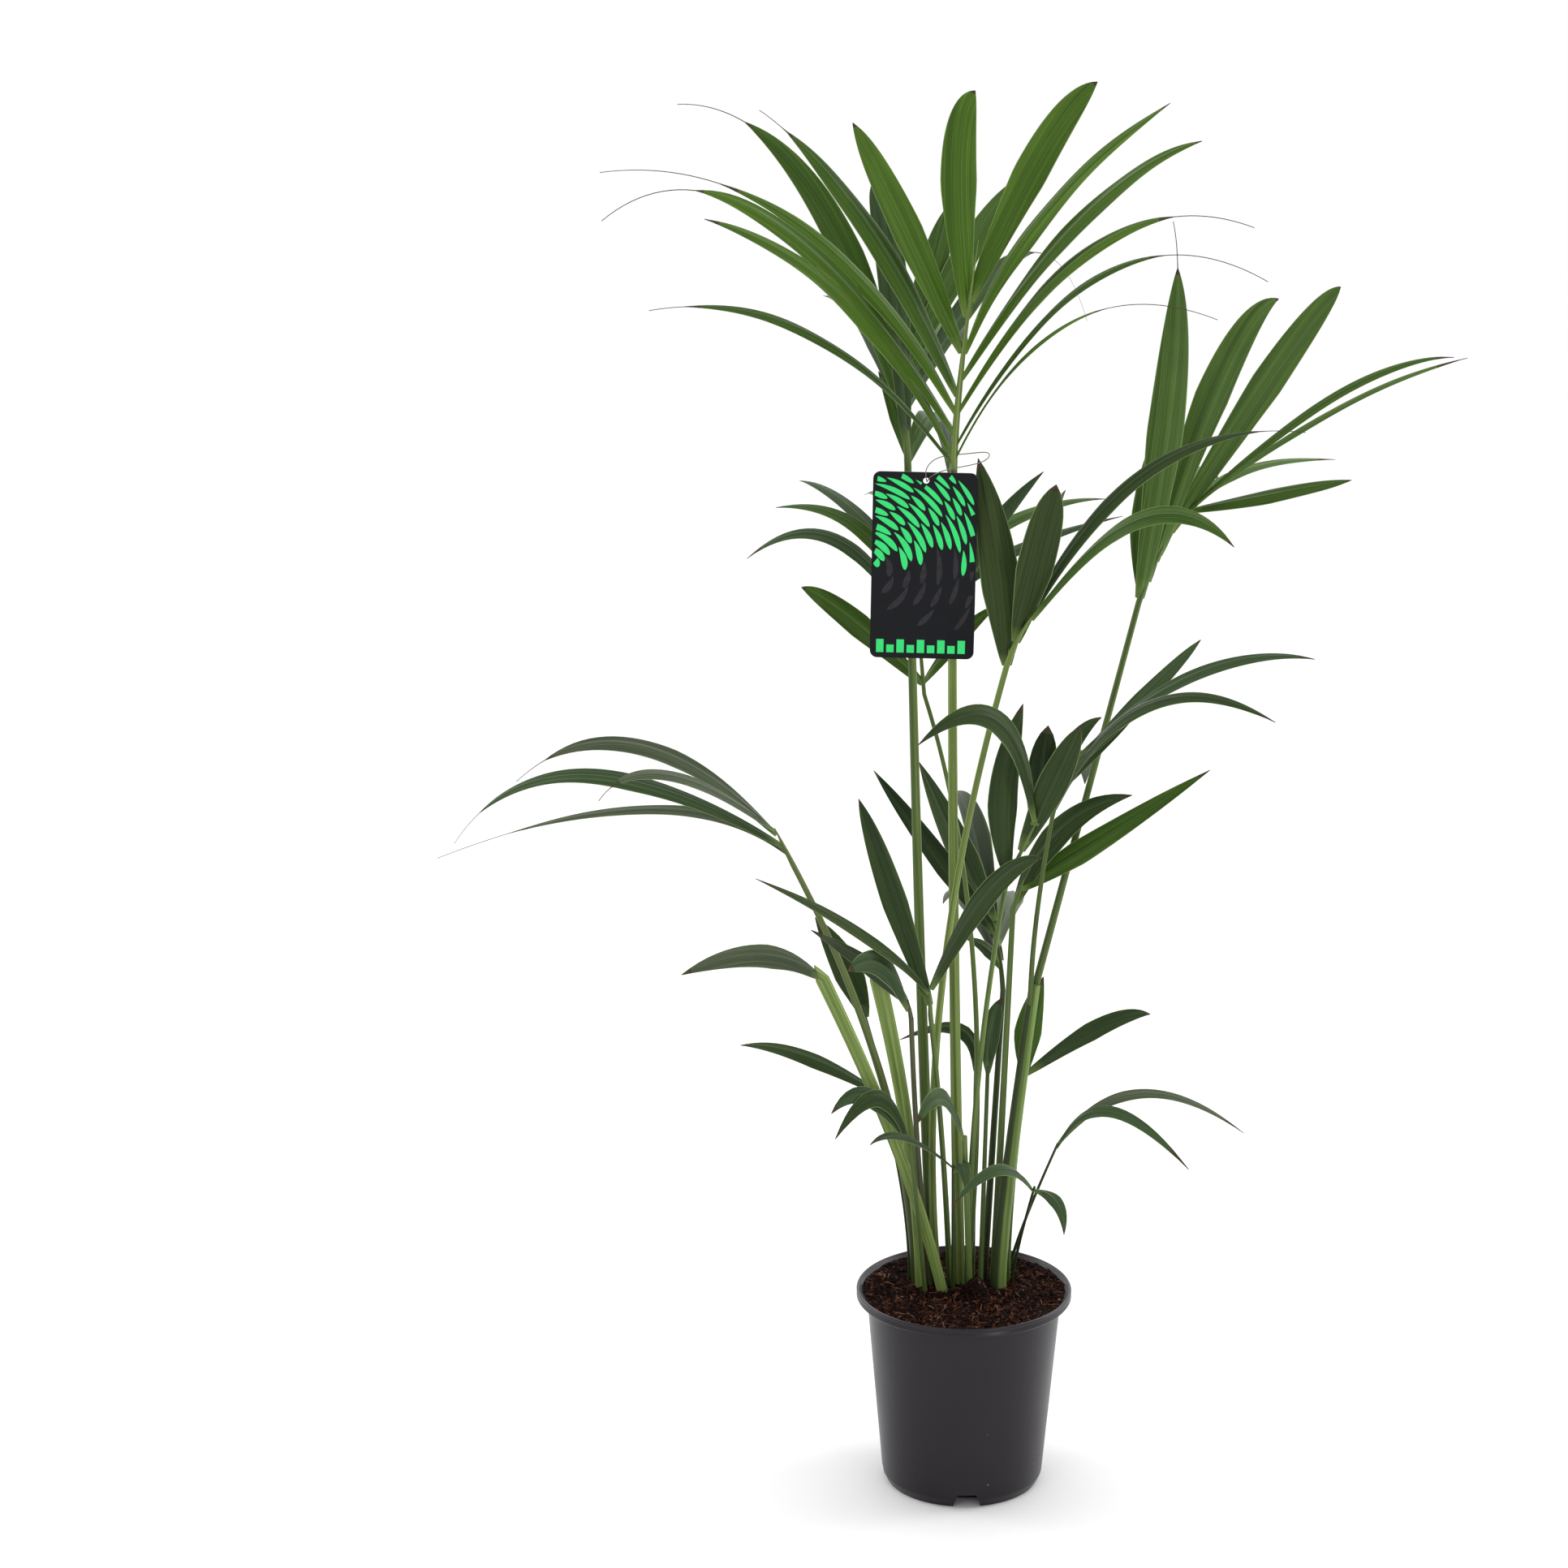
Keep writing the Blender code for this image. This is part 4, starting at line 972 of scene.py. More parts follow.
def add_blade(sheet, root, leaf, top, seed):
    """One leaflet: a thin folded and pleated blade with a real thickness, in the source's outline."""
    rng = random.Random(seed)
    arc = Arc(root, root + Vector(leaf.reach), leaf.bow, leaf.bend)
    length = arc.length()
    fewest, most = BLADE_ROWS
    rows = max(fewest, min(most, round(length / BLADE_STEP)))
    lean = math.radians(leaf.turn)
    face = FRONT * math.cos(lean) + arc.up * math.sin(lean)
    twist = math.radians(rng.uniform(-BLADE_TWIST, BLADE_TWIST))
    phase = rng.uniform(0.0, TAU)
    pleats = rng.choice(BLADE_PLEATS)
    shift = rng.uniform(0.0, MAP_SHIFT)
    under, hair = 0, 1
    tops, backs, maps, halves = [], [], [], []
    for i in range(rows + 1):
        t = i / rows
        share = min(1.0, t / (1.0 - leaf.thread))
        swell = ROOT_SHARE + (1.0 - ROOT_SHARE) * min(1.0, share / SWELL_END) ** SWELL_POWER
        fall = (1.0 - share**leaf.taper) ** FALL_POWER
        thread = THREAD_WIDTH * (1.0 - 0.55 * t)
        half = max(thread, leaf.width * swell * fall) / 2.0
        halves.append(half)
        along = arc.tangent(t)
        square = arc.facing(face, t)
        turn = twist * (t - 0.25)
        across = along.cross(square)
        square, across = (
            square * math.cos(turn) + across * math.sin(turn),
            across * math.cos(turn) - square * math.sin(turn),
        )
        middle = arc.point(t)
        run = length * t
        fold = BLADE_FOLD + ROOT_FOLD * math.exp(-run / ROOT_FOLD_REACH)
        full = min(1.0, half / FULL_HALF)
        upper, lower, spots = [], [], []
        for j in range(BLADE_COLUMNS + 1):
            s = 2.0 * j / BLADE_COLUMNS - 1.0
            lift = -fold * half * abs(s)
            lift += PLEAT_DEPTH * full * math.cos(math.pi * pleats * s)
            lift += MIDRIB_RISE * full * math.exp(-((s * half / MIDRIB_HALF) ** 2))
            lag = RIPPLE_LAG if s > 0 else 0.0
            lift += RIPPLE_RISE * full * s * s * math.sin(run / RIPPLE_REACH + phase + lag)
            thick = (BLADE_THICK + (BLADE_EDGE_THICK - BLADE_THICK) * abs(s)) * (0.45 + 0.55 * fall)
            spot = middle + across * (s * half) + square * lift
            upper.append(spot + square * thick / 2.0)
            lower.append(spot - square * thick / 2.0)
            spots.append(((s * half + shift, run), (j / BLADE_COLUMNS, t)))
        tops.append(sheet.ring(upper))
        backs.append(sheet.ring(lower))
        maps.append(spots)
    last = BLADE_COLUMNS
    for i in range(rows):
        front, back = (hair, hair) if halves[i + 1] < HAIR_HALF else (top, under)
        for j in range(last):
            cells = ((i, j), (i, j + 1), (i + 1, j + 1), (i + 1, j))
            places = [maps[a][b] for a, b in cells]
            sheet.quad(tuple(tops[a][b] for a, b in cells), places, front, False)
            sheet.quad(tuple(backs[a][b] for a, b in cells), places, back, True)
        for j, flip in ((0, False), (last, True)):
            corners = [backs[i][j], backs[i + 1][j], tops[i + 1][j], tops[i][j]]
            places = [maps[i][j], maps[i + 1][j], maps[i + 1][j], maps[i][j]]
            sheet.quad(corners, places, front, flip)
    for i, flip in ((0, True), (rows, False)):
        for j in range(last):
            corners = [tops[i][j], tops[i][j + 1], backs[i][j + 1], backs[i][j]]
            places = [maps[i][j], maps[i][j + 1], maps[i][j + 1], maps[i][j]]
            sheet.quad(corners, places, top, flip)


def add_limb(sheet, line, widths, flats, seed, ribbing=STALK_RIDGES):
    """A ribbed limb along a line of points, with a shallow groove down its front."""
    rng = random.Random(seed)
    phase = rng.uniform(0.0, TAU)
    shift = rng.uniform(0.0, MAP_SHIFT)
    ridges, depth = ribbing
    rings, maps = [], []
    run = 0.0
    for i, middle in enumerate(line):
        before, after = line[max(0, i - 1)], line[min(len(line) - 1, i + 1)]
        along = (after - before).normalized()
        side = along.cross(FRONT).normalized()
        front = side.cross(along)
        run += (middle - line[i - 1]).length if i else 0.0
        half = widths[i] / 2.0
        waver = 0.6 + 0.4 * math.sin(run / 60.0 + phase)
        ring, spots = [], []
        for j in range(STALK_SIDES):
            angle = TAU * j / STALK_SIDES
            ridge = 1.0 + depth * math.cos(ridges * angle + phase) * waver
            groove = 1.0 - GROOVE_DEPTH * max(0.0, math.sin(angle)) ** 6
            ring.append(middle + side * (math.cos(angle) * half * ridge)
                        + front * (math.sin(angle) * half * flats[i] * ridge * groove))
            spots.append(((half * angle + shift, run), 0.5 + 0.5 * math.cos(angle)))
        spots.append(((half * TAU + shift, run), 1.0))
        rings.append(sheet.ring(ring))
        maps.append(spots)
    total = max(run, 1.0)
    for i in range(len(rings) - 1):
        for j in range(STALK_SIDES):
            k = (j + 1) % STALK_SIDES
            corners = (rings[i][j], rings[i][k], rings[i + 1][k], rings[i + 1][j])
            spots = (maps[i][j], maps[i][j + 1], maps[i + 1][j + 1], maps[i + 1][j])
            places = [(blade, (share, blade[1] / total)) for blade, share in spots]
            sheet.quad(corners, places, 0, True)
    for ring, spots, flip in ((rings[0], maps[0], False), (rings[-1], maps[-1], True)):
        sheet.quad(ring, [(blade, (0.5, 0.5)) for blade, _ in spots[:-1]], 0, flip)


def limb_profile(line, start, end, flat_foot, flat_head, clasping):
    """Widths and flatness along a limb; a clasping one is wider low down, where its base holds the stem."""
    runs = [0.0]
    for a, b in zip(line, line[1:]):
        runs.append(runs[-1] + (b - a).length)
    widths, flats = [], []
    for run in runs:
        swell = 1.0 + CLASP_SWELL * math.exp(-run / CLASP_REACH) if clasping else 1.0
        widths.append((start + (end - start) * run / runs[-1]) * swell)
        flats.append(flat_foot + (flat_head - flat_foot) * run / runs[-1])
    return widths, flats


def stalk_line(limb):
    """The stalk's own line, begun a little below the compost when it stands on it."""
    arc = Arc(standing(limb), limb.head, limb.bow, limb.bend)
    line = arc.stalk_points()
    line.insert(0, line[0] - arc.tangent(0.0) * (STALK_SUNK if len(limb.foot) == 2 else LIMB_SUNK))
    return arc, line


def add_leaflets(name, rows, arc, tones, seed):
    """The leaflets that grow along an arc, as one piece in their greens."""
    greens = sorted(set(tones))
    blades = Sheets()
    for i, leaf in enumerate(rows):
        top = 2 + greens.index(tones[i % len(tones)])
        add_blade(blades, arc.point(leaf.at), leaf, top, seed + i)
    return blades.build(name, ("leaf_under", "hair_brown", *greens))


def add_frond(name, frond, seed):
    """The stalk and rib as one ribbed limb, and the leaflets as one piece."""
    stalk, rib = frond["stalk"], frond["rib"]
    tones, stalk_finish = GREENS[name]
    arc, line = stalk_line(stalk)
    flat = stalk.flat if stalk.flat < 1.0 else STALK_FLAT
    widths, flats = limb_profile(line, *stalk.widths, flat, flat, len(stalk.foot) == 2)
    rib_foot = arc.point(1.0) + arc.tangent(1.0) * RIB_GAP
    rib_arc = Arc(rib_foot, rib.head, rib.bow, rib.bend)
    rib_line = rib_arc.stalk_points()
    rib_end = rib.widths[1] * THIN_FLAT
    rib_widths, rib_flats = limb_profile(rib_line, stalk.widths[1], rib_end, flat, THIN_FLAT, False)
    last = len(rib_line) - 1
    rib_widths = [width * (1.0 - RIB_TAPER * (i / last) ** 3) for i, width in enumerate(rib_widths)]
    limb = Sheets()
    add_limb(limb, line + rib_line, widths + rib_widths, flats + rib_flats, seed)
    keep(limb.build(name + "_ribbed_stalk", (stalk_finish,)), "stalk", name + "_stalk")
    piece = add_leaflets(name + "_leaflets", frond["leaflets"], rib_arc, tones, seed)
    keep(piece, frond["slot"], name + "_frond")


def add_low_leaf(name, leaf, seed):
    tones, stalk_finish = GREENS[name]
    stalk = leaf["stalk"]
    arc, line = stalk_line(stalk)
    limb = Sheets()
    add_limb(limb, line, *limb_profile(line, *stalk.widths, THIN_FLAT, THIN_FLAT, True), seed)
    keep(limb.build(name + "_thin_stalk", (stalk_finish,)), "stalk")
    keep(add_leaflets(name + "_blades", leaf["leaflets"], arc, tones, seed), SHADE, name + "_leaf")


def add_bare_limb(name, limb, slot, seed):
    line = stalk_line(limb)[1]
    flat = limb.flat if limb.flat < 1.0 else THIN_FLAT
    piece = Sheets()
    add_limb(piece, line, *limb_profile(line, *limb.widths, flat, flat, True), seed, SHEATH_RIDGES)
    keep(piece.build(name + "_ribbed", (GREENS[name][1],)), slot, name)


def lathe(name, profile, finish, sides):
    """A turned body from (radius, height) points; where the profile meets the axis it closes in a fan."""
    shape = bmesh.new()
    rings = []
    for radius, height in profile:
        if radius < 1e-6:
            rings.append([shape.verts.new((0.0, 0.0, height * MM))])
            continue
        spots = [around(radius, TAU * i / sides) for i in range(sides)]
        rings.append([shape.verts.new((x * MM, y * MM, height * MM)) for x, y in spots])
    for first, second in zip(rings, rings[1:]):
        for i in range(sides):
            k = (i + 1) % sides
            corners = (first[i % len(first)], first[k % len(first)],
                       second[k % len(second)], second[i % len(second)])
            unique = list(dict.fromkeys(corners))
            if len(unique) > 2:
                shape.faces.new(unique)
    bmesh.ops.recalc_face_normals(shape, faces=shape.faces)
    mesh = bpy.data.meshes.new(name)
    shape.to_mesh(mesh)
    shape.free()
    mesh.materials.append(FINISHES[finish])
    mesh.shade_smooth()
    return stand(name, mesh)


def rounded(corners, steps=4):
    """A profile with each (radius, height, rounding) corner turned on a small arc."""
    line = []
    for i, (radius, height, turn) in enumerate(corners):
        here = Vector((radius, height))
        if turn <= 0.0 or i in (0, len(corners) - 1):
            line.append((radius, height))
            continue
        before = (Vector(corners[i - 1][:2]) - here).normalized() * turn
        after = (Vector(corners[i + 1][:2]) - here).normalized() * turn
        for step in range(steps + 1):
            t = step / steps
            spot = here + before * (1 - t) ** 2 + after * t**2
            line.append((spot.x, spot.y))
    return line


def shell_radius(height, inset):
    share = (height - POT_HEEL_HEIGHT) / (POT_HEIGHT - POT_LIP_HEIGHT - POT_HEEL_HEIGHT)
    return POT_HEEL_RADIUS + (POT_SHOULDER_RADIUS - POT_HEEL_RADIUS) * share - inset


def notch_cutter(number):
    """A tapered block with rounded upper edges that cuts one drain notch."""
    shape = bmesh.new()
    bmesh.ops.create_cube(shape, size=1.0)
    for corner in shape.verts:
        high = corner.co.z > 0
        reach = (NOTCH_TOP_WIDTH if high else NOTCH_WIDTH) / 2.0
        level = NOTCH_HEIGHT if high else -1.0
        radius = POT_RIM_RADIUS if corner.co.x > 0 else POT_FOOT_RADIUS - NOTCH_DEPTH
        corner.co = Vector((radius, math.copysign(reach, corner.co.y), level)) * MM
    ends = [(e, e.verts[0].co, e.verts[1].co) for e in shape.edges]
    upper = [e for e, start, end in ends if abs(start.x - end.x) > 0.01 and start.z > 0]
    bmesh.ops.bevel(
        shape, geom=upper, offset=NOTCH_ROUNDING * MM, segments=3, affect="EDGES", profile=0.5
    )
    mesh = bpy.data.meshes.new(f"notch_{number}")
    shape.to_mesh(mesh)
    shape.free()
    cutter = stand(f"notch_{number}", mesh)
    cutter.rotation_euler.z = math.radians(NOTCH_FIRST + 360.0 * number / NOTCH_COUNT)
    return cutter


def add_pot():
    """The thin shell with its rolled lip, bevelled heel and drain notches."""
    lip_foot = POT_HEIGHT - POT_LIP_HEIGHT
    levels = [lip_foot - 4.0 - WALL_STEP * i for i in range(WALL_RINGS)]
    outline = [
        (0.0, POT_FLOOR, 0.0),
        (POT_FOOT_RADIUS - POT_WALL - 1.0, POT_FLOOR, 1.0),
        (shell_radius(POT_HEEL_HEIGHT + 1.0, POT_WALL), POT_HEEL_HEIGHT + 1.0, 1.5),
        (shell_radius(lip_foot, POT_WALL), lip_foot, 1.5),
        (POT_RIM_RADIUS - 3.1, POT_HEIGHT - 1.2, 0.8),
        (POT_RIM_RADIUS - 2.3, POT_HEIGHT, 0.8),
        (POT_RIM_RADIUS - 0.6, POT_HEIGHT, 0.8),
        (POT_RIM_RADIUS, POT_HEIGHT - 1.4, 0.7),
        (POT_RIM_RADIUS - 0.9, POT_HEIGHT - 3.0, 0.5),
        (POT_RIM_RADIUS, lip_foot + 1.4, 0.9),
        (POT_RIM_RADIUS - 1.3, lip_foot, 0.6),
        (POT_SHOULDER_RADIUS, lip_foot - 0.4, 0.8),
        *((shell_radius(height, 0.0), height, 0.0) for height in levels),
        (POT_HEEL_RADIUS, POT_HEEL_HEIGHT, 1.6),
        (POT_FOOT_RADIUS, 0.0, 0.9),
        (0.0, 0.0, 0.0),
    ]
    pot = lathe("nursery_pot", rounded(outline), "charcoal_plastic", POT_SIDES)
    cutters = [notch_cutter(number) for number in range(NOTCH_COUNT)]
    for cutter in cutters:
        cut = pot.modifiers.new(cutter.name, "BOOLEAN")
        cut.operation = "DIFFERENCE"
        cut.object = cutter
        cut.solver = "EXACT"
    finished = applied(pot)
    pot.modifiers.clear()
    pot.data = finished
    finished.shade_smooth()
    finished.set_sharp_from_angle(angle=math.radians(38.0))
    for cutter in cutters:
        bpy.data.objects.remove(cutter)
    keep(pot, "pot_plastic", "pot")


def roughness_at(x, y, size, scale, level):
    return size * noise.noise(Vector((x * scale, y * scale, level)))


def rough_soil(x, y):
    """Height of the loose compost: its clods and the round lump before the stems."""
    size, scale, level = CLODS
    clods = size * noise.fractal(Vector((x * scale, y * scale, level)), 0.9, 2.1, 4)
    lumps = roughness_at(x, y, *LUMPS)
    fine = roughness_at(x, y, *GRAINS)
    away = math.hypot(x - LUMP_PLACE[0], y - LUMP_PLACE[1]) / LUMP_RADIUS
    lump = (LUMP_RISE - 0.6) * math.sqrt(1.0 - away * away) if away < 1.0 else 0.0
    radius = math.hypot(x, y)
    edge = min(1.0, (SOIL_RIM_RADIUS - radius) / SOIL_CALM_WIDTH)
    past = (radius - SOIL_BANK_FROM) / (SOIL_RIM_RADIUS - SOIL_BANK_FROM)
    bank = SOIL_BANK_RISE * min(1.0, max(0.0, past))
    return soil_height(x, y) - SOIL_SUNK + (clods + lumps + fine) * max(0.15, edge) + lump + bank


def add_soil():
    """The compost as a clodded top on a short plug."""
    points, faces = [], []
    angles = [TAU * side / SOIL_SIDES for side in range(SOIL_SIDES)]
    for ring in range(1, SOIL_RINGS + 1):
        spots = [around(SOIL_RIM_RADIUS * ring / SOIL_RINGS, angle) for angle in angles]
        points.extend(Vector((x, y, rough_soil(x, y))) for x, y in spots)
    for level in (SOIL_EDGE - 2.0, SOIL_EDGE - SOIL_DEPTH):
        radius = shell_radius(level, POT_WALL + 0.3)
        points.extend(Vector((*around(radius, angle), level)) for angle in angles)
    for ring in range(SOIL_RINGS + 1):
        a, b = ring * SOIL_SIDES, (ring + 1) * SOIL_SIDES
        for side in range(SOIL_SIDES):
            k = (side + 1) % SOIL_SIDES
            faces.append((a + side, b + side, b + k, a + k))
    top, bottom = new_points(points, (
        Vector((0.0, 0.0, rough_soil(0.0, 0.0))),
        Vector((0.0, 0.0, SOIL_EDGE - SOIL_DEPTH)),
    ))
    base = (SOIL_RINGS + 1) * SOIL_SIDES
    for side in range(SOIL_SIDES):
        k = (side + 1) % SOIL_SIDES
        faces.append((top, side, k))
        faces.append((bottom, base + k, base + side))
    mesh = new_mesh("loose_compost", points, faces, ("damp_coir",))
    mesh.shade_smooth()
    keep(stand("loose_compost", mesh), "compost", "soil")


def add_lump():
    """The round rough lump of compost before the stems."""
    shape = bmesh.new()
    bmesh.ops.create_icosphere(shape, subdivisions=5, radius=LUMP_RADIUS)
    x, y = LUMP_PLACE
    middle = Vector((x, y, soil_height(x, y) + LUMP_RISE - LUMP_RADIUS))
    points = []
    for corner in shape.verts:
        along = corner.co.normalized()
        rough = 1.1 * noise.fractal(along * 3.2, 0.8, 2.2, 4) + 0.25 * noise.noise(along * 17.0)
        points.append(middle + along * (LUMP_RADIUS - 0.4 + rough))
    faces = [tuple(v.index for v in face.verts) for face in shape.faces]
    shape.free()
    keep(plain_piece("compost_lump", points, faces, ("damp_coir",), None, 180.0), "compost")


def scatter_spot(rng, spread):
    """A place on the compost, in millimetres."""
    radius = SOIL_RIM_RADIUS * spread * math.sqrt(rng.random())
    return around(radius, rng.uniform(0.0, TAU))


def chosen_tone(rng, tones):
    """The number of one of the tones, picked by their weights."""
    return rng.choices(range(len(tones)), list(tones.values()))[0]


def thread_tube(points, faces, line, radius, sides=3):
    """A fine closed tube along a line of points, thinner at both ends."""
    rings = []
    for i, middle in enumerate(line):
        along = (line[min(len(line) - 1, i + 1)] - line[max(0, i - 1)]).normalized()
        side = along.cross(UP if abs(along.z) < 0.9 else FRONT).normalized()
        lift = side.cross(along)
        thin = radius * (1.0 if 0 < i < len(line) - 1 else 0.4)
        turns = [around(thin, TAU * j / sides) for j in range(sides)]
        rings.append(new_points(points, [middle + side * x + lift * y for x, y in turns]))
    for a, b in zip(rings, rings[1:]):
        for j in range(sides):
            k = (j + 1) % sides
            faces.append((a[k], a[j], b[j], b[k]))
    faces.append(tuple(rings[0]))
    faces.append(tuple(reversed(rings[-1])))


def add_fibres():
    """Fine coir fibres that lie about on the compost."""
    rng = random.Random(FIBRE_SEED)
    points, faces, indices = [], [], []
    for _ in range(FIBRE_COUNT):
        x, y = scatter_spot(rng, 0.97)
        heading = rng.uniform(0.0, TAU)
        curl = rng.uniform(-FIBRE_CURL, FIBRE_CURL)
        step = rng.uniform(*FIBRE_STEP)
        arch = rng.uniform(*FIBRE_ARCH)
        line = []
        for i in range(FIBRE_POINTS):
            if math.hypot(x, y) > SOIL_RIM_RADIUS * SCATTER_REACH:
                break
            rise = 0.25 + arch * math.sin(math.pi * i / (FIBRE_POINTS - 1))
            line.append(Vector((x, y, rough_soil(x, y) + rise)))
            heading += curl * step
            x += step * math.cos(heading)
            y += step * math.sin(heading)
        if len(line) < 4:
            continue
        before = len(faces)
        thread_tube(points, faces, line, rng.uniform(*FIBRE_RADIUS))
        indices.extend([chosen_tone(rng, FIBRE_TONES)] * (len(faces) - before))
    keep(plain_piece("coir_fibres", points, faces, FIBRE_TONES, indices), "compost")


def add_crumbs():
    """Small crumbs of compost, most of them fine."""
    rng = random.Random(CRUMB_SEED)
    ball = bmesh.new()
    bmesh.ops.create_icosphere(ball, subdivisions=1, radius=1.0)
    shape = [v.co.copy() for v in ball.verts]
    sides = [[v.index for v in f.verts] for f in ball.faces]
    ball.free()
    points, faces, indices = [], [], []
    for _ in range(CRUMB_COUNT):
        x, y = scatter_spot(rng, 0.975)
        size = 0.45 + 1.5 * rng.random() ** 2.2
        stretch = Vector([rng.uniform(*span) for span in CRUMB_SHAPE]) * size
        centre = Vector((x, y, rough_soil(x, y) + size * 0.2))
        start = len(points)
        for corner in shape:
            wobble = 1.0 + 0.25 * rng.uniform(-1.0, 1.0)
            points.append(centre + corner * stretch * wobble)
        faces.extend([tuple(start + k for k in side) for side in sides])
        indices.extend([chosen_tone(rng, CRUMB_TONES)] * len(sides))
    keep(plain_piece("coir_crumbs", points, faces, CRUMB_TONES, indices, 30.0), "compost")


def card_point(x, y, out):
    """A place on the card: x and y from its centre, out towards the viewer."""
    tilt = math.radians(-CARD_TILT)
    return Vector((
        CARD_CENTRE[0] + x * math.cos(tilt) - y * math.sin(tilt),
        CARD_CENTRE[1] - out,
        CARD_CENTRE[2] + x * math.sin(tilt) + y * math.cos(tilt),
    ))


def add_plate(plates, outline, low, high):
    """A flat plate on the card, from an outline that runs anticlockwise."""
    points, faces = plates
    start = len(points)
    count = len(outline)
    for out in (low, high):
        points.extend(card_point(x, y, out) for x, y in outline)
    faces.append(tuple(start + count + i for i in range(count)))
    faces.append(tuple(start + i for i in reversed(range(count))))
    for i in range(count):
        k = (i + 1) % count
        faces.append((start + i, start + k, start + count + k, start + count + i))


def add_card():
    """The black card with rounded corners and a hole."""
    ring = []
    for quarter, (side, end) in enumerate(((1, 1), (-1, 1), (-1, -1), (1, -1))):
        middle_x, middle_y = side * (CARD_WIDTH / 2 - CARD_CORNER), end * (CARD_HEIGHT / 2 - CARD_CORNER)
        for step in range(CORNER_STEPS + 1):
            x, y = around(CARD_CORNER, TAU / 4 * (quarter + step / CORNER_STEPS))
            ring.append((middle_x + x, middle_y + y))
    hole = []
    for step in range(CARD_HOLE_SIDES):
        x, y = around(CARD_HOLE_RADIUS, TAU * (step + 0.5) / CARD_HOLE_SIDES)
        hole.append((CARD_HOLE[0] + x, CARD_HOLE[1] + y))
    shape = bmesh.new()
    half = CARD_THICKNESS / 2
    loops = {}
    for label, outline in (("ring", ring), ("hole", hole)):
        for out in (half, -half):
            verts = [shape.verts.new(card_point(x, y, out) * MM) for x, y in outline]
            for i, vert in enumerate(verts):
                shape.edges.new((vert, verts[(i + 1) % len(verts)]))
            loops[label, out] = verts
    for out in (half, -half):
        chosen = set(loops["ring", out] + loops["hole", out])
        edges = [e for e in shape.edges if e.verts[0] in chosen and e.verts[1] in chosen]
        bmesh.ops.triangle_fill(shape, use_beauty=True, edges=edges)
    for label in ("ring", "hole"):
        front, back = loops[label, half], loops[label, -half]
        for i in range(len(front)):
            k = (i + 1) % len(front)
            rim = shape.faces.new((front[i], front[k], back[k], back[i]))
            rim.material_index = 1
    bmesh.ops.recalc_face_normals(shape, faces=shape.faces)
    mesh = bpy.data.meshes.new("black_card")
    shape.to_mesh(mesh)
    shape.free()
    mesh.materials.append(FINISHES["card_black"])
    mesh.materials.append(FINISHES["card_edge"])
    keep(stand("black_card", mesh), "label_face", "label_card")


def inside_card(x, y):
    wide, high = CARD_WIDTH / 2 - PRINT_MARGIN, CARD_HEIGHT / 2 - PRINT_MARGIN
    if abs(x) > wide or abs(y) > high:
        return False
    corner_x, corner_y = abs(x) - (wide - CARD_CORNER), abs(y) - (high - CARD_CORNER)
    if corner_x > 0 and corner_y > 0 and math.hypot(corner_x, corner_y) > CARD_CORNER:
        return False
    return math.hypot(x - CARD_HOLE[0], y - CARD_HOLE[1]) > CARD_HOLE_RADIUS + 1.0


def shown_runs(samples):
    """Splits a run of cross lines into the stretches that lie on the card."""
    runs, current = [], []
    for pair in samples:
        if all(inside_card(*spot) for spot in pair):
            current.append(pair)
        elif current:
            runs.append(current)
            current = []
    if current:
        runs.append(current)
    return [run for run in runs if len(run) > 2]


def stroke_outlines(angle, sweep, radius, wide):
    """The parts on the card of one tapered stroke along a ring."""
    samples = []
    for i in range(STROKE_STEPS + 1):
        t = i / STROKE_STEPS
        turn = angle + sweep * t
        swell = wide / 2.0 * math.sin(math.pi * t**0.75) ** 0.8
        lean = radius + STROKE_LEAN * (t - 0.5)
        pair = [around(lean + side * swell, turn) for side in (1.0, -1.0)]
        samples.append([(PRINT_CENTRE[0] + x, PRINT_CENTRE[1] + y) for x, y in pair])
    for run in shown_runs(samples):
        outer, inner = [pair[0] for pair in run], [pair[1] for pair in run]
        if math.dist(outer[0], inner[0]) < 0.01:
            inner = inner[1:]
        if math.dist(outer[-1], inner[-1]) < 0.01:
            inner = inner[:-1]
        yield outer + inner[::-1]


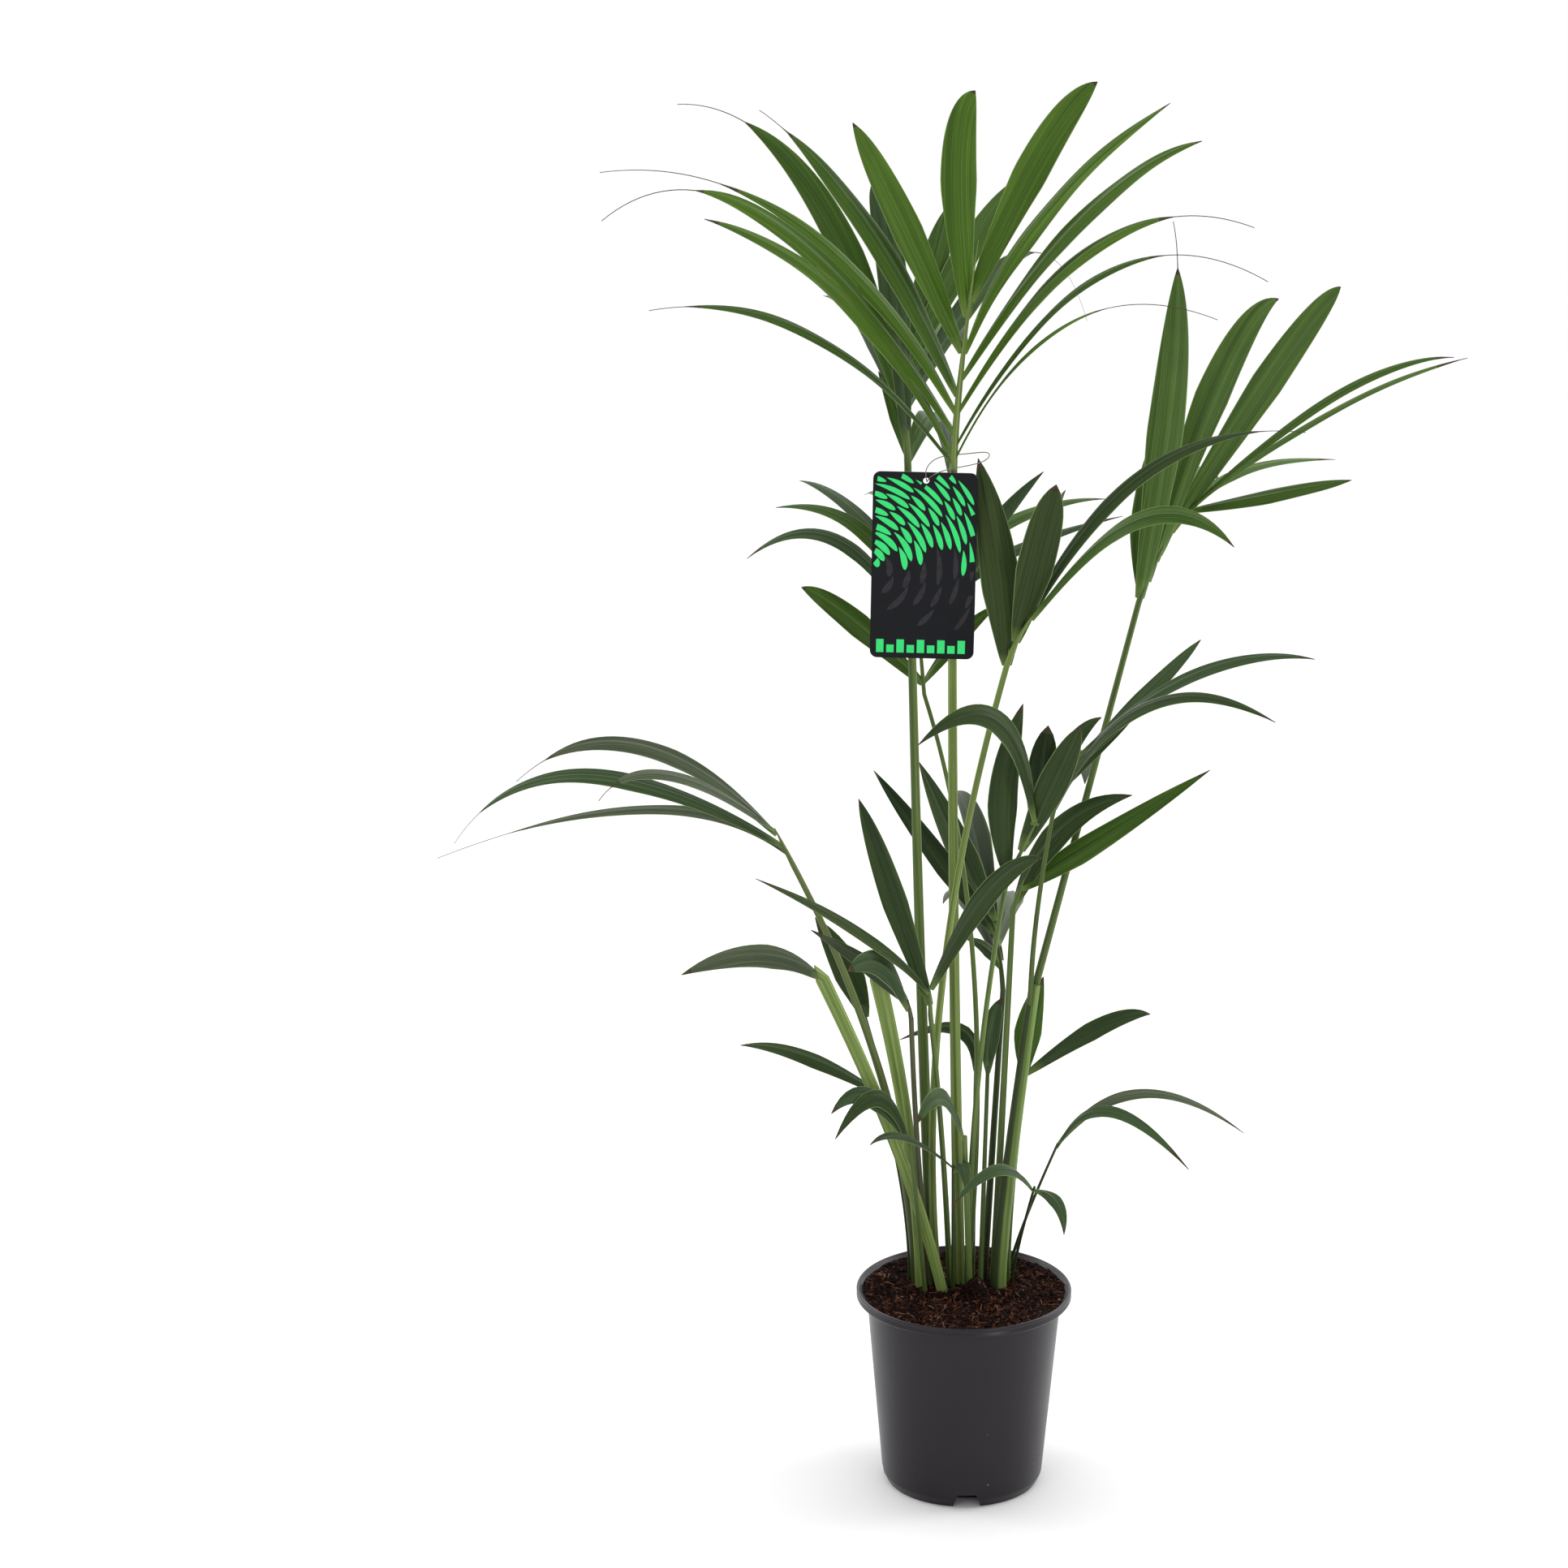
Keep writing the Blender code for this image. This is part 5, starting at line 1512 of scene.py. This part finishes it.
def add_print():
    """The printed design: tapered strokes on rings that spread from a low side, over a band of blocks."""
    rng = random.Random(PRINT_SEED)
    half = CARD_THICKNESS / 2
    green, grey = ([], []), ([], [])
    for ring in range(PRINT_RINGS):
        radius = PRINT_INNER_RADIUS + PRINT_STEP * ring
        wide = STROKE_WIDTH - STROKE_THINNING * ring
        first, last = STROKE_ANGLES
        angle = first + STROKE_SHIFT * (ring % 3)
        while angle < last:
            sweep = min(STROKE_LONGEST, rng.uniform(*STROKE_LENGTH) / radius)
            for outline in stroke_outlines(angle, sweep, radius, wide):
                low = min(y for _, y in outline)
                if low > GREEN_LOWEST:
                    add_plate(green, outline, half - PRINT_SUNK, half + GREEN_PROUD)
                elif GREY_LOWEST < low and ring % 2:
                    add_plate(grey, outline, half - PRINT_SUNK, half + GREY_PROUD)
            angle += sweep * rng.uniform(0.86, 1.02)
    block_step = (CARD_WIDTH - 2.0 * BLOCK_MARGIN) / PRINT_BLOCKS
    for block in range(PRINT_BLOCKS):
        x = -CARD_WIDTH / 2 + BLOCK_MARGIN + block * block_step
        wide = block_step - BLOCK_GAP
        low = -CARD_HEIGHT / 2 + BLOCK_FOOT
        tall = BLOCK_HEIGHTS[block % 2]
        outline = [(x, low), (x + wide, low), (x + wide, low + tall), (x, low + tall)]
        add_plate(green, outline, half - PRINT_SUNK, half + GREEN_PROUD)
    keep(plain_piece("printed_rings", *green, ("ink_green",), None, 30.0), "label_face")
    keep(plain_piece("printed_shadow_rings", *grey, ("ink_grey",), None, 30.0), "label_face")


def add_wire():
    """The loop of thin wire: out of the card's hole, round the stalk and back, closed in a narrow bend."""
    hole = card_point(*CARD_HOLE, 0.0)
    curve = bpy.data.curves.new("bent_wire", "CURVE")
    curve.dimensions = "3D"
    curve.bevel_depth = WIRE_RADIUS * MM
    curve.bevel_resolution = 2
    curve.resolution_u = 5
    line = curve.splines.new("NURBS")
    line.points.add(len(WIRE_LOOP) - 1)
    line.use_cyclic_u = True
    line.order_u = 4
    for point, spot in zip(line.points, WIRE_LOOP):
        point.co = (*((hole + Vector(spot)) * MM), 1.0)
    curve.materials.append(FINISHES["dull_wire"])
    made = stand("bent_wire_line", curve)
    mesh = applied(made)
    bpy.data.objects.remove(made)
    mesh.name = "bent_wire"
    mesh.shade_smooth()
    keep(stand("bent_wire", mesh), "wire", "label_wire")


def add_floor():
    mesh = bpy.data.meshes.new("pale_floor")
    corners = [(x * FLOOR_REACH, y * FLOOR_REACH, 0.0) for x, y in ((-1, -1), (1, -1), (1, 1), (-1, 1))]
    mesh.from_pydata(corners, [], [(0, 1, 2, 3)])
    paint, _, shader = new_material("pale_floor", 0.1)
    shader.inputs["Base Color"].default_value = (FLOOR_TONE, FLOOR_TONE, FLOOR_TONE, 1.0)
    shader.inputs["Roughness"].default_value = 0.9
    mesh.materials.append(paint)
    stand("pale_floor", mesh)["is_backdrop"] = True


def add_lamp(name, spot, target, size, power):
    lamp = bpy.data.lights.new(name, "AREA")
    lamp.shape = "RECTANGLE"
    lamp.size, lamp.size_y = size
    lamp.energy = power
    made = stand(name, lamp)
    made.location = spot
    made.rotation_euler = (Vector(target) - Vector(spot)).to_track_quat("-Z", "Y").to_euler()
    made.visible_camera = False


def add_studio():
    """Soft white light from above, in front and both sides, and the photograph's camera."""
    scene = bpy.context.scene
    world = bpy.data.worlds.new("studio")
    world.use_nodes = True
    tree = world.node_tree
    tree.nodes.clear()
    path = place(tree, "LightPath")
    mix = place(tree, "MixShader", {"Fac": path.outputs["Is Camera Ray"]})
    for socket, strength in ((1, WORLD_LIGHT), (2, 1.0)):
        white = place(tree, "Background", {"Color": (1.0, 1.0, 1.0, 1.0), "Strength": strength})
        tree.links.new(white.outputs[0], mix.inputs[socket])
    place(tree, "OutputWorld", {"Surface": mix.outputs[0]})
    scene.world = world
    for name, lamp in LAMPS.items():
        add_lamp(name, *lamp)
    sky = bpy.data.lights.new("wide_sky", "SUN")
    sky.energy = SKY_LIGHT
    sky.angle = math.radians(SKY_ANGLE)
    above = stand("wide_sky", sky)
    above.rotation_euler = (math.radians(SKY_TILT), 0.0, 0.0)
    above.visible_camera = False
    lens = bpy.data.cameras.new("photograph")
    lens.lens = CAMERA_LENS
    lens.sensor_width = SENSOR_WIDTH
    lens.clip_end = CAMERA_REACH
    eye = stand("photograph", lens)
    eye.location = CAMERA_PLACE
    eye.rotation_euler = (math.radians(90.0 - CAMERA_PITCH), 0.0, math.radians(CAMERA_TURN))
    scene.camera = eye
    scene.view_settings.view_transform = "Standard"


add_pot()
add_soil()
add_lump()
add_fibres()
add_crumbs()
add_card()
add_print()
add_wire()
for seed, (name, frond) in zip(itertools.count(*FROND_SEEDS), FRONDS.items()):
    add_frond(name, frond, seed)
for seed, (name, leaf) in zip(itertools.count(*LOW_LEAF_SEEDS), LOW_LEAVES.items()):
    add_low_leaf(name, leaf, seed)
for seed, (name, (limb, slot)) in zip(itertools.count(*BARE_LIMB_SEEDS), BARE_LIMBS.items()):
    add_bare_limb(name, limb, slot, seed)
add_floor()
add_studio()

final_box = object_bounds()
[[list(corner) for corner in box] for box in (solid_box, final_box)]
